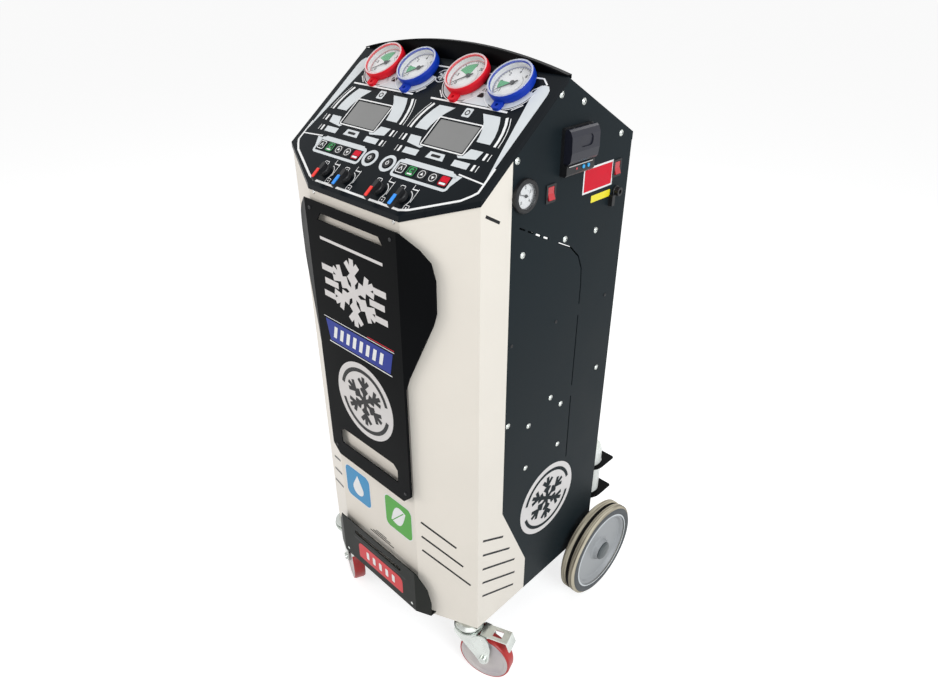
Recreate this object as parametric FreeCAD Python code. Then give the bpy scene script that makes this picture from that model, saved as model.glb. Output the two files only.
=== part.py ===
"""Air conditioning recharge station: a wheeled cabinet with a sloped control panel.

Millimetres. While building, x is to the machine's right as seen from the front,
y runs from the front face to the back and z is up from the floor. At the end all
pieces are moved together so that the origin is the bottom centre of the whole.
"""
import FreeCAD, Part
import math
import os

# Casing
W = 517.0            # outer width
FLAT = 257.0         # width of the flat front between the two chamfers
CHAMFER_Y = 55.5     # depth of each chamfer
SHEET = 1.5          # sheet thickness
PLATE = 2.0          # thickness of control panel, covers and brackets
REAR_Y = 470.0       # rear edge of the side panels
Z_FRONT = 1101.0     # top of the front face
APEX_Y = 257.0       # ridge between control slope and rear slope
SLOPE = 37.9         # angle of the control slope, degrees
Z_REAR = 1180.0      # rear top corner
STRIP_Y = 128.5      # edge of the white side strip, upper part
STRIP_LOW_Y = 213.0  # the same, lower part
STRIP_Z = (448.0, 252.0)
VENT = 4.0             # width of the vent slots

# Running gear
WHEEL_R = 125.0
WHEEL_W = 44.0
WHEEL_GAP = 12.0
AXLE_R = 10.0
AXLE_Y = 464.0
CASTER_R = 62.5
CASTER_HEAD = 29.0   # height of the swivel head above the wheel
Z_BOTTOM = 2 * CASTER_R + CASTER_HEAD   # underside of the casing
CASTER_X = W / 2 - 31.5
CASTER_Y = 61.0
TRAIL = 45.0
CASTER_TURN = {"right": 72.0, "left": 114.0}

# Control panel
GAUGE_S = 292.0
GAUGE_X = (-160.0, -64.0, 65.0, 168.0)
DIAL_R = 38.5          # radius of the white dial inside its boot
GAUGE_R = 43.0
SCREEN_X = 115.0
SCREEN_S = 170.5
KEY_S = 84.0
BUTTON_X = 24.5
LEVER_S = 33.0
LEVER_X = (-103.0, -41.0, 51.0, 112.0)

# Right side panel
PRINTER_Y = (250.0, 330.0)
PRINTER_Z = (1141.0, 1223.0)
ROCKERS = ((228.0, 1117.0), (427.0, 1121.0))
SIDE_GAUGE = (157.0, 1130.0)
SOCKET = (430.0, 1076.0)

CA = math.cos(math.radians(SLOPE))
SA = math.sin(math.radians(SLOPE))
APEX_Z = Z_FRONT + APEX_Y * SA / CA
CHAMFER = math.atan2(CHAMFER_Y, (W - FLAT) / 2)

V = FreeCAD.Vector
X, Y, Z = V(1, 0, 0), V(0, 1, 0), V(0, 0, 1)
O = V(0, 0, 0)
TOP = (O, X, Y)
SIDE = (O, Y, Z)
FRONT = (O, X * -1, Z)
SLOPED = (V(0, 0, Z_FRONT), X, V(0, CA, SA))
FACET = (V(FLAT / 2, 0, 0), V(math.cos(CHAMFER), math.sin(CHAMFER), 0), Z)

parts = {}


def prism(points, plane, low, high):
    """Polygon drawn in a plane, pulled along the plane's normal."""
    origin, u, v = plane
    normal = u.cross(v)
    corners = [origin + u * p[0] + v * p[1] + normal * low for p in points]
    wire = Part.makePolygon(corners + corners[:1])
    return Part.Face(wire).extrude(normal * (high - low))


def box(x0, x1, y0, y1, z0, z1):
    return Part.makeBox(x1 - x0, y1 - y0, z1 - z0, V(x0, y0, z0))


def rod(radius, start, end):
    return Part.makeCylinder(radius, (end - start).Length, start, end - start)


def turned(profile, origin=O, axis=Z):
    """Profile of (radius, height) points turned about an axis."""
    wire = Part.makePolygon([V(r, 0, h) for r, h in profile + profile[:1]])
    solid = Part.Face(wire).revolve(O, Z, 360)
    solid.Placement = FreeCAD.Placement(origin, FreeCAD.Rotation(Z, axis))
    return solid


def fuse(shapes):
    return shapes[0].multiFuse(shapes[1:]).removeSplitter()


def offset(path, distance):
    """Open path moved sideways; positive is to the left of its direction."""
    lines = []
    for a, b in zip(path, path[1:]):
        length = math.hypot(b[0] - a[0], b[1] - a[1])
        n = (-(b[1] - a[1]) / length * distance, (b[0] - a[0]) / length * distance)
        lines.append(((a[0] + n[0], a[1] + n[1]), (b[0] + n[0], b[1] + n[1])))
    moved = [lines[0][0]]
    for (a, b), (c, d) in zip(lines, lines[1:]):
        r = (b[0] - a[0], b[1] - a[1])
        s = (d[0] - c[0], d[1] - c[1])
        t = ((c[0] - a[0]) * s[1] - (c[1] - a[1]) * s[0]) / (r[0] * s[1] - r[1] * s[0])
        moved.append((a[0] + t * r[0], a[1] + t * r[1]))
    return moved + [lines[-1][1]]


def folded(path, low, high, z0, z1):
    """Sheet that follows a path in plan, between two offsets."""
    inner = offset(path, low)
    outer = offset(path, high)
    return prism(inner + outer[::-1], TOP, z0, z1)


def bar(a, b, width):
    """Rectangle round the line from a to b."""
    length = math.hypot(b[0] - a[0], b[1] - a[1])
    n = (-(b[1] - a[1]) / length * width / 2, (b[0] - a[0]) / length * width / 2)
    return [(a[0] + n[0], a[1] + n[1]), (b[0] + n[0], b[1] + n[1]),
            (b[0] - n[0], b[1] - n[1]), (a[0] - n[0], a[1] - n[1])]


def rounded(x0, x1, y0, y1, r, steps=4):
    """Rectangle with rounded corners as a list of points."""
    points = []
    for cx, cy, start in ((x1 - r, y1 - r, 0), (x0 + r, y1 - r, 90),
                          (x0 + r, y0 + r, 180), (x1 - r, y0 + r, 270)):
        for i in range(steps + 1):
            a = math.radians(start + 90.0 * i / steps)
            points.append((cx + r * math.cos(a), cy + r * math.sin(a)))
    return points


def mirrored(shape):
    return shape.mirror(O, X)


def on_slope(shape, x, s, lift=0.0):
    """Local z becomes the slope's normal and local y runs up the slope."""
    at = V(x, s * CA - lift * SA, Z_FRONT + s * SA + lift * CA)
    shape.Placement = FreeCAD.Placement(at, FreeCAD.Rotation(X, SLOPE)).multiply(shape.Placement)
    return shape


def on_side(shape, y, z, lift=0.0):
    """Local z becomes +x, out of the right side panel; local y stays y."""
    at = V(W / 2 + lift, y, z)
    shape.Placement = FreeCAD.Placement(at, FreeCAD.Rotation(Y, 90)).multiply(shape.Placement)
    return shape


def plan(inset):
    """Outline of the casing in plan, moved inwards."""
    path = [(W / 2, REAR_Y), (W / 2, CHAMFER_Y), (FLAT / 2, 0), (-FLAT / 2, 0),
            (-W / 2, CHAMFER_Y), (-W / 2, REAR_Y)]
    return offset(path, -inset)


def above_slope(lift, back=APEX_Y):
    """Everything over the control slope, for cutting."""
    low = -40
    corners = [(y, Z_FRONT + y * SA / CA + lift / CA) for y in (low, back)]
    return prism(corners + [(back, 1500), (low, 1500)], SIDE, -400, 400)


def make_front_shell():
    path = [(W / 2, STRIP_LOW_Y), (W / 2, CHAMFER_Y), (FLAT / 2, 0), (-FLAT / 2, 0),
            (-W / 2, CHAMFER_Y), (-W / 2, STRIP_LOW_Y)]
    shell = folded(path, 0, -SHEET, Z_BOTTOM, 1260).cut(above_slope(0))
    away = [(STRIP_Y, 1300), (STRIP_Y, STRIP_Z[0]), (STRIP_LOW_Y, STRIP_Z[1]),
            (STRIP_LOW_Y + 9, STRIP_Z[1]), (STRIP_LOW_Y + 9, 1300)]
    shell = shell.cut(prism(away, SIDE, -400, 400))
    cuts = []
    ends = ((133, 380), (156, 328), (175, 279), (177, 236), (174, 198))
    for i, end in enumerate(ends):
        start = (70, 413 - 41.5 * i)
        cuts.append(prism(bar(start, end, VENT), SIDE, W / 2 - 5, W / 2 + 5))
    cuts.append(prism(bar((67, 1117), (100, 1098), 5.0), SIDE, W / 2 - 5, W / 2 + 5))
    for i, run in enumerate((80, 95, 112)):
        start = (13, 431 - 40.5 * i)
        end = (13 + run, start[1] - 0.57 * run)
        cuts.append(prism(bar(start, end, VENT), FACET, -5, 5))
    cuts += [mirrored(c) for c in cuts]
    for x0, x1, z in ((-16, 22, 301), (-27, 35, 295), (-38, 47, 289)):
        cuts.append(prism(bar((x0, z), (x1, z), 2.6), (O, X, Z), -5, 5))
    parts["front_shell"] = shell.cut(Part.makeCompound(cuts))


def side_outline(front):
    return [(front, Z_BOTTOM), (REAR_Y, Z_BOTTOM), (REAR_Y, Z_REAR), (APEX_Y, APEX_Z),
            (front, Z_FRONT + front * SA / CA)]


def make_side_panels():
    inner = W / 2 - 2 * SHEET
    sheet = prism(side_outline(60), SIDE, inner, inner + SHEET)
    outer_part = [(STRIP_Y, 1300), (STRIP_Y, STRIP_Z[0]), (STRIP_LOW_Y, STRIP_Z[1]),
                  (STRIP_LOW_Y, Z_BOTTOM - 1), (REAR_Y + 1, Z_BOTTOM - 1), (REAR_Y + 1, 1300)]
    skin = prism(side_outline(60), SIDE, inner + SHEET, inner + 2 * SHEET)
    skin = skin.common(prism(outer_part, SIDE, 0, 400))
    flange = box(inner - 20, inner, REAR_Y - 4 - SHEET, REAR_Y - 4, Z_BOTTOM + 24, Z_REAR - 12)
    panel = fuse([sheet, skin, flange])
    cuts = []
    for i in range(4):
        y0 = 150 + 22 * i
        cuts.append(prism(bar((y0, 1075 - 11.3 * i), (y0 + 15, 1067.3 - 11.3 * i), 3.0),
                          SIDE, inner - 5, W))
    bend = [(261, 1017), (300, 997), (326, 972), (339, 943), (342, 910), (342, 864)]
    for a, b in zip(bend, bend[1:]):
        cuts.append(prism(bar(a, b, 3.0), SIDE, inner - 5, W))
    cuts.append(prism(bar((342, 839), (341, 670), 3.0), SIDE, inner - 5, W))
    cuts.append(prism(bar((341, 643), (343, 475), 3.0), SIDE, inner - 5, W))
    slots = Part.makeCompound(cuts)
    parts["side_panel_left"] = mirrored(panel.cut(slots))
    holes = [box(inner - 5, W, PRINTER_Y[0] + 8, PRINTER_Y[1] - 8, PRINTER_Z[0] + 8, PRINTER_Z[1] - 8)]
    for y, z in ROCKERS:
        holes.append(box(inner - 5, W, y - 10.5, y + 10.5, z - 14, z + 14))
    for (y, z), r in ((SIDE_GAUGE, 24.0), (SOCKET, 7.2)):
        holes.append(rod(r, V(inner - 5, y, z), V(W, y, z)))
    parts["side_panel_right"] = panel.cut(slots).cut(Part.makeCompound(holes))


def make_rear():
    x = W / 2 - 2 * SHEET - 0.2
    panel = box(-x, x, REAR_Y - 4, REAR_Y - 4 + SHEET, Z_BOTTOM + 4, Z_REAR - 4)
    hems = [box(-x, x, REAR_Y - 24, REAR_Y - 4, Z_BOTTOM + 4, Z_BOTTOM + 4 + SHEET),
            box(-x + 24, x - 24, REAR_Y - 24, REAR_Y - 4, Z_REAR - 20, Z_REAR - 20 + SHEET)]
    cuts = []
    for i in range(9):
        for side in (-1, 1):
            z = 760 + 22 * i
            cuts.append(box(side * 110 - 80, side * 110 + 80, REAR_Y - 6, REAR_Y, z, z + 6))
    cuts.append(rod(8.1, V(-60, REAR_Y - 8, 560), V(-60, REAR_Y + 2, 560)))
    cuts.append(rod(8.1, V(60, REAR_Y - 8, 560), V(60, REAR_Y + 2, 560)))
    hems[0] = hems[0].cut(box(-x, -x + 24, REAR_Y - 30, REAR_Y, 0, 400))
    hems[0] = hems[0].cut(box(x - 24, x, REAR_Y - 30, REAR_Y, 0, 400))
    parts["rear_panel"] = fuse([panel] + hems).cut(Part.makeCompound(cuts))
    drop = (APEX_Z - Z_REAR) / (REAR_Y - APEX_Y)
    profile = [(APEX_Y, APEX_Z), (REAR_Y, Z_REAR), (REAR_Y, Z_REAR - 14), (REAR_Y + SHEET, Z_REAR - 14),
               (REAR_Y + SHEET, Z_REAR + PLATE - 1.5 * drop), (APEX_Y, APEX_Z + PLATE)]
    parts["top_cover"] = prism(profile, SIDE, -W / 2, W / 2)


def make_floor():
    outer = plan(SHEET + 0.1)
    outer[0] = (W / 2 - 2 * SHEET - 0.2, REAR_Y - 27)
    outer[-1] = (-outer[0][0], outer[0][1])
    outer[1] = (outer[0][0], outer[1][1])
    outer[-2] = (outer[-1][0], outer[-2][1])
    plate = prism(outer, TOP, Z_BOTTOM, Z_BOTTOM + PLATE)
    rim = folded(outer, 0, -PLATE, Z_BOTTOM, Z_BOTTOM + 22)
    shapes = [plate, rim]
    for side in (-1, 1):
        x = side * 205
        hanger = prism([(AXLE_Y - 75, Z_BOTTOM), (AXLE_Y + 2, Z_BOTTOM), (AXLE_Y + 18, WHEEL_R + 12),
                        (AXLE_Y + 18, WHEEL_R - 14), (AXLE_Y + 8, WHEEL_R - 20),
                        (AXLE_Y - 12, WHEEL_R - 20)], SIDE, x - 2, x + 2)
        hanger = hanger.cut(rod(AXLE_R + 0.05, V(x - 9, AXLE_Y, WHEEL_R), V(x + 9, AXLE_Y, WHEEL_R)))
        shapes.append(hanger)
        channel = box(x - 24, x + 24, 100, REAR_Y - 30, Z_BOTTOM + PLATE, Z_BOTTOM + PLATE + 20)
        hollow = box(x - 21, x + 21, 90, REAR_Y - 25, Z_BOTTOM + PLATE, Z_BOTTOM + PLATE + 17)
        shapes.append(channel.cut(hollow))
    bolts = [rod(6, V(s * CASTER_X, CASTER_Y, 100), V(s * CASTER_X, CASTER_Y, 200)) for s in (-1, 1)]
    parts["floor_pan"] = fuse(shapes).cut(Part.makeCompound(bolts))


def make_control_panel():
    rim = 1.5
    outline = [(p[0], p[1]) for p in plan(-rim)]
    outline[0] = (W / 2 + rim, APEX_Y)
    outline[-1] = (-W / 2 - rim, APEX_Y)
    block = prism(outline, TOP, Z_FRONT - 40, 1400)
    block = block.cut(above_slope(PLATE, APEX_Y + 5))
    under = above_slope(-6, APEX_Y + 5)
    block = block.common(under)
    inner = plan(-0.1)
    inner[0] = (W / 2 + 0.1, APEX_Y + 5)
    inner[-1] = (-inner[0][0], APEX_Y + 5)
    core = prism(inner, TOP, Z_FRONT - 60, 1400).cut(above_slope(0, APEX_Y + 9))
    plate = block.cut(core)
    cuts = []
    for side in (-1, 1):
        x = side * SCREEN_X
        cuts.append(prism(rounded(x - 47.5, x + 47.5, SCREEN_S - 28, SCREEN_S + 28, 2), SLOPED, -9, 9))
        cuts.append(on_slope(Part.makeCylinder(8.5, 30, V(0, 0, -15)), side * BUTTON_X, KEY_S + 2))
    for x in GAUGE_X:
        cuts.append(on_slope(Part.makeCylinder(11.0, 30, V(0, 0, -15)), x, GAUGE_S))
    for x in LEVER_X:
        cuts.append(on_slope(Part.makeCylinder(6.2, 30, V(0, 0, -15)), x, LEVER_S))
    parts["control_panel"] = plate.cut(Part.makeCompound(cuts))


def make_visor():
    half = W / 2
    rise = 31.0
    base = APEX_Z - 1.4
    drop = (APEX_Z - Z_REAR) / (REAR_Y - APEX_Y)
    radius = (half ** 2 + rise ** 2) / (2 * rise)
    top = base + 6 + rise
    arc = []
    for i in range(25):
        x = -half + 2 * half * i / 24
        arc.append((x, top - radius + math.sqrt(radius ** 2 - x ** 2)))
    y0 = APEX_Y + 7.0
    plane = (V(0, y0, 0), X * -1, Z)
    foot_z = APEX_Z + PLATE - drop * (y0 - APEX_Y)
    outline = [(-p[0], p[1]) for p in arc] + [(-half, foot_z), (half, foot_z)]
    wall = prism(outline, plane, 0, 2)
    inner = [(x, z - 2) for x, z in arc]
    lip = prism([(-p[0], p[1]) for p in arc + inner[::-1]], plane, -9, 2)
    foot = prism([(y0, foot_z), (y0 + 17, foot_z - 17 * drop), (y0 + 17, foot_z - 17 * drop + 2),
                  (y0, foot_z + 2)], SIDE, -half + 12, half - 12)
    parts["visor"] = fuse([wall, lip, foot])


def make_front_cover():
    path = [(W / 2, CHAMFER_Y), (FLAT / 2, 0), (-FLAT / 2, 0), (-W / 2, CHAMFER_Y)]
    sheet = folded(path, 10, 12, 400, 1150)
    half = [(133, 1078), (169, 1053), (188, 1032), (195, 1002), (195, 940), (189, 916),
            (141, 793), (134, 766), (134, 506), (110, 481)]
    outline = half + [(-x, z) for x, z in half[::-1]]
    sheet = sheet.common(prism(outline, (O, X, Z), -60, 60))
    upper = [(-84, 1058), (84, 1058), (95, 1043), (-95, 1043)]
    lower = [(-83, 565), (83, 565), (95, 554), (95, 522), (-95, 522), (-95, 554)]
    cuts = [prism(p, (O, X, Z), -60, 60) for p in (upper, lower)]
    studs = []
    for z in (1010, 770, 500):
        for side in (-1, 1):
            x = side * (105 if z < 900 else 110)
            studs.append(rod(6, V(x, 0, z), V(x, -10.5, z)))
    parts["front_cover"] = fuse([sheet.cut(Part.makeCompound(cuts))] + studs)


def make_kick_plate():
    path = [(W / 2, CHAMFER_Y), (FLAT / 2, 0), (-FLAT / 2, 0), (-W / 2, CHAMFER_Y)]
    sheet = folded(path, 12, 14, 120, 400)
    half = [(133, 284), (158, 243), (166, 204), (166, 163)]
    outline = half + [(-x, z) for x, z in half[::-1]]
    sheet = sheet.common(prism(outline, (O, X, Z), -60, 60))
    foot = folded(path, 0, 12.5, 163, 165).common(prism(outline, (O, X, Z), -60, 60))
    slot = prism(rounded(-84, 84, 252, 264, 6), (O, X, Z), -60, 60)
    parts["kick_plate"] = fuse([sheet.cut(slot), foot])


def make_gauges():
    lenses = []
    dials = []
    for number, x in enumerate(GAUGE_X, 1):
        boot = turned([(0, 0), (GAUGE_R - 3, 0), (GAUGE_R - 0.5, 4), (GAUGE_R, 9), (GAUGE_R, 13),
                       (GAUGE_R - 1, 16.5), (GAUGE_R - 2.5, 18), (DIAL_R - 0.2, 18), (DIAL_R - 1.2, 16.5),
                       (DIAL_R - 1.2, 14), (DIAL_R + 0.3, 14), (DIAL_R + 0.3, 4), (0, 4)])
        stem = Part.makeCylinder(10, 34, V(0, 0, -30))
        tab = prism(rounded(-9, 9, -GAUGE_R - 14, -GAUGE_R + 6, 6), TOP, 0, 7)
        tab = tab.cut(Part.makeCylinder(3.2, 20, V(0, -GAUGE_R - 6, -5)))
        ring = Part.makeCylinder(DIAL_R + 0.3, 30, V(0, 0, 4))
        case = fuse([boot, stem, tab.cut(ring)])
        parts["gauge_case_%d" % number] = on_slope(case, x, GAUGE_S, PLATE)
        dial = turned([(0, 4), (DIAL_R, 4), (DIAL_R, 4.8), (1.0, 4.8), (1.0, 8.0), (0, 8.0)])
        dials.append(on_slope(dial, x, GAUGE_S, PLATE))
        lens = turned([(DIAL_R + 0.2, 10.2), (DIAL_R + 0.2, 13.9), (DIAL_R - 1.3, 13.9), (DIAL_R - 1.3, 16.6),
                       (DIAL_R - 2.5, 18.6), (DIAL_R - 6, 19.6), (18, 20.6), (0, 21.0), (0, 19.6), (18, 19.2),
                       (DIAL_R - 6.5, 18.2), (DIAL_R - 3.1, 17.0), (DIAL_R - 3.1, 10.2)])
        lenses.append(on_slope(lens, x, GAUGE_S, PLATE))
        hub = Part.makeCylinder(4.2, 2.6, V(0, 0, 5.6))
        hand = prism([(-1.1, -10), (1.1, -10), (1.3, 0), (0.35, 31), (-0.35, 31), (-1.3, 0)], TOP, 6.4, 7.2)
        hand = fuse([hub, hand]).cut(Part.makeCylinder(1.06, 8, V(0, 0, 2)))
        hand.rotate(O, Z, 128)
        parts["gauge_needle_%d" % number] = on_slope(hand, x, GAUGE_S, PLATE)
    return dials, lenses


def make_screens_and_keys():
    screens = []
    keys = []
    for side in (-1, 1):
        x = side * SCREEN_X
        glass = prism(rounded(x - 47.3, x + 47.3, SCREEN_S - 27.8, SCREEN_S + 27.8, 2), SLOPED, -6, 1.2)
        back = prism(rounded(x - 56, x + 56, SCREEN_S - 36, SCREEN_S + 36, 2), SLOPED, -9, -0.1)
        screens.append(fuse([glass, back]))
        for i in range(5):
            kx = x + 26.5 * (i - 2)
            pad = prism(rounded(kx - 9.5, kx + 9.5, KEY_S - 9, KEY_S + 9, 3), SLOPED, PLATE, PLATE + 0.8)
            keys.append(pad)
        button = turned([(0, -7), (9.8, -7), (9.8, -0.4), (8.2, -0.4), (8.2, 3.0), (7.4, 3.6), (0, 3.6)])
        name = "button_right" if side > 0 else "button_left"
        parts[name] = on_slope(button, side * BUTTON_X, KEY_S + 2)
    parts["displays"] = Part.makeCompound(screens)
    parts["keypads"] = Part.makeCompound(keys)


def make_levers():
    bodies = []
    for number, x in enumerate(LEVER_X, 1):
        hub = turned([(0, 2.4), (11, 2.4), (11, 9), (10, 10.5), (0, 10.5)])
        shaft = Part.makeCylinder(4.0, 20, V(0, 0, -14))
        grip = prism([(-4.5, 8), (-3.6, -27), (-2, -29), (2, -29), (3.6, -27), (4.5, 8), (2.5, 10.5),
                      (-2.5, 10.5)], TOP, 10, 17)
        cap = prism([(-3.2, -6), (-2.6, -26), (2.6, -26), (3.2, -6)], TOP, 16.5, 18)
        lever = fuse([hub, shaft, grip, cap])
        parts["valve_lever_%d" % number] = on_slope(lever, x, LEVER_S, PLATE)
        body = turned([(4.05, -14), (14, -14), (14, -2.2), (6, -2.2), (6, 2.2), (4.05, 2.2)])
        bodies.append(on_slope(body, x, LEVER_S, PLATE))
    parts["valve_bodies"] = Part.makeCompound(bodies)


def make_side_gauge(dials, lenses):
    case = turned([(0, -18), (23.5, -18), (23.5, 0), (29, 0), (29, 7), (27, 9.5), (22.8, 9.5), (21.5, 8.4), (21.5, 3),
                   (0, 3)])
    parts["side_gauge_case"] = on_side(case, *SIDE_GAUGE)
    dial = turned([(0, 3), (21.2, 3), (21.2, 3.7), (0.8, 3.7), (0.8, 6.0), (0, 6.0)])
    dials.append(on_side(dial, *SIDE_GAUGE))
    lens = turned([(0, 7.0), (21.3, 7.0), (21.3, 8.2), (0, 8.2)])
    lenses.append(on_side(lens, *SIDE_GAUGE))
    parts["gauge_dials"] = Part.makeCompound(dials)
    parts["gauge_lenses"] = Part.makeCompound(lenses)
    hub = Part.makeCylinder(2.6, 1.8, V(0, 0, 4.4))
    hand = prism([(-0.9, -6), (0.9, -6), (0.9, 0), (0.3, 17), (-0.3, 17), (-0.9, 0)], TOP, 4.8, 5.5)
    hand = fuse([hub, hand]).cut(Part.makeCylinder(0.86, 8, V(0, 0, 2)))
    hand.rotate(O, Z, 160)
    parts["side_gauge_needle"] = on_side(hand, *SIDE_GAUGE)


def make_printer():
    x = W / 2
    y0, y1 = PRINTER_Y
    z0, z1 = PRINTER_Z
    back = prism(rounded(y0, y1, z0, z1, 4), SIDE, x, x + 6)
    lip = prism([(x, z0 + 1), (x + 12, z0 + 1), (x + 15, z0 + 5), (x + 15, z0 + 19), (x + 13, z0 + 21),
                 (x, z0 + 21)], (V(0, y0, 0), X, Z), 0, -(y1 - y0))
    tube = box(x - 42, x + 1, y0 + 8.5, y1 - 8.5, z0 + 8.5, z1 - 8.5)
    body = fuse([back, lip, tube])
    holes = [box(x - 36, x + 7, y0 + 12, y1 - 12, z0 + 24, z1 - 12)]
    buttons = (y0 + 47, y0 + 61)
    for y in buttons:
        holes.append(rod(3.7, V(x + 8, y, z0 + 12), V(x + 30, y, z0 + 12)))
    body = body.cut(Part.makeCompound(holes))
    px = x + 9.5
    pz = z1 - 4.0
    low = z0 + 23.0
    top = pz + 2.6
    ears = (y0 + 16, y1 - 20)
    for y in ears:
        ear = fuse([rod(3.1, V(px, y, pz), V(px, y + 4, pz)), box(x + 5, px, y, y + 4, pz - 3.1, pz)])
        body = body.fuse(ear).cut(rod(1.54, V(px, y - 1, pz), V(px, y + 5, pz)))
    parts["printer_body"] = body.removeSplitter()
    for number, y in enumerate(buttons, 1):
        parts["printer_button_%d" % number] = rod(3.4, V(x + 10.5, y, z0 + 12), V(x + 16.6, y, z0 + 12))
    lid = prism([(x + 6.4, low), (x + 17, low), (x + 21, low + 5), (x + 23, low + 20), (x + 22, top - 12),
                 (x + 18, top - 3), (x + 14, top), (px, top), (px - 2.6, pz), (x + 6.4, pz - 4)],
                (V(0, y0 + 0.5, 0), X, Z), 0, -(y1 - y0 - 1))
    window = prism(rounded(y0 + 24, y1 - 20, low + 26, top - 12, 8), SIDE, x + 20.5, x + 60)
    lid = lid.cut(window).cut(box(x + 6, x + 17, y0 + 4, y1 - 4, low + 3, pz - 8))
    for y in ears:
        lid = lid.cut(box(x + 5, px + 3.6, y - 0.4, y + 4.4, pz - 9, top + 1))
    lid = fuse([lid] + [rod(1.5, V(px, y - 2, pz), V(px, y + 6, pz)) for y in ears])
    parts["printer_lid"] = lid


def make_rockers():
    x = W / 2
    bezels = []
    for number, (y, z) in enumerate(ROCKERS, 1):
        plate = prism(rounded(y - 13, y + 13, z - 16.5, z + 16.5, 2), SIDE, x, x + 2.2)
        can = box(x - 22, x + 1, y - 10.3, y + 10.3, z - 13.8, z + 13.8)
        well = box(x - 18, x + 5, y - 8.4, y + 8.4, z - 12.6, z + 12.6)
        pivot = rod(1.54, V(x, y - 9.7, z), V(x, y + 9.7, z))
        bezels.append(fuse([plate, can]).cut(well).cut(pivot))
        tilt = math.radians(9)
        outline = [(-7, -9.5), (-7, 9.5), (-0.5, 12.0), (3.6, 11.4), (1.6, 0.0), (3.6, -11.4), (-0.5, -12.0)]
        turn = [(a * math.cos(tilt) - b * math.sin(tilt), a * math.sin(tilt) + b * math.cos(tilt))
                for a, b in outline]
        rocker = prism([(x + a, z + b) for a, b in turn], (V(0, y + 8.0, 0), X, Z), 0, 16.0)
        parts["rocker_%d" % number] = rocker.fuse(rod(1.5, V(x, y - 9.4, z), V(x, y + 9.4, z)))
    parts["rocker_bezels"] = Part.makeCompound(bezels)


def make_socket():
    y, z = SOCKET
    x = W / 2
    nut = turned([(4.2, 0), (10.5, 0), (10.5, 3), (9, 4), (8.4, 12), (4.2, 12)])
    sleeve = turned([(4.2, -14), (7, -14), (7, 0), (4.2, 0)])
    gland = on_side(fuse([nut, sleeve]), y, z)
    block = box(x, x + 9, y - 20, y - 11, z - 25, z - 4)
    parts["cable_gland"] = Part.makeCompound([gland, block])


def make_wheels():
    for side, name in ((1, "right"), (-1, "left")):
        start = V(side * (W / 2 + WHEEL_GAP), AXLE_Y, WHEEL_R)
        out = V(side, 0, 0)
        half = [(103, 2), (110, 0), (119, 1.5), (125, 6), (125, 16), (122, 18), (113, 19.5)]
        tyre = half + [(r, WHEEL_W - h) for r, h in half[::-1]]
        parts["tyre_%s" % name] = turned(tyre, start, out)
        bore = AXLE_R + 0.06
        rim = [(bore, -6), (20, -6), (24, 14), (88, 14), (92, 4), (103, 4), (103, 40), (94, 40), (89, 33),
               (84, 31), (34, 31), (30, 34), (26, 44), (bore, 44)]
        parts["rim_%s" % name] = turned(rim, start, out)
    end = W / 2 + WHEEL_GAP + WHEEL_W
    parts["axle"] = rod(AXLE_R, V(-end - 5, AXLE_Y, WHEEL_R), V(end + 5, AXLE_Y, WHEEL_R))
    caps = []
    for side in (-1, 1):
        cap = turned([(AXLE_R, 0.6), (24, 0.6), (24, 3), (20, 6), (10, 7.5), (0, 7.5), (0, 5), (AXLE_R, 5)],
                     V(side * end, AXLE_Y, WHEEL_R), V(side, 0, 0))
        caps.append(cap)
    parts["axle_caps"] = Part.makeCompound(caps)


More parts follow.
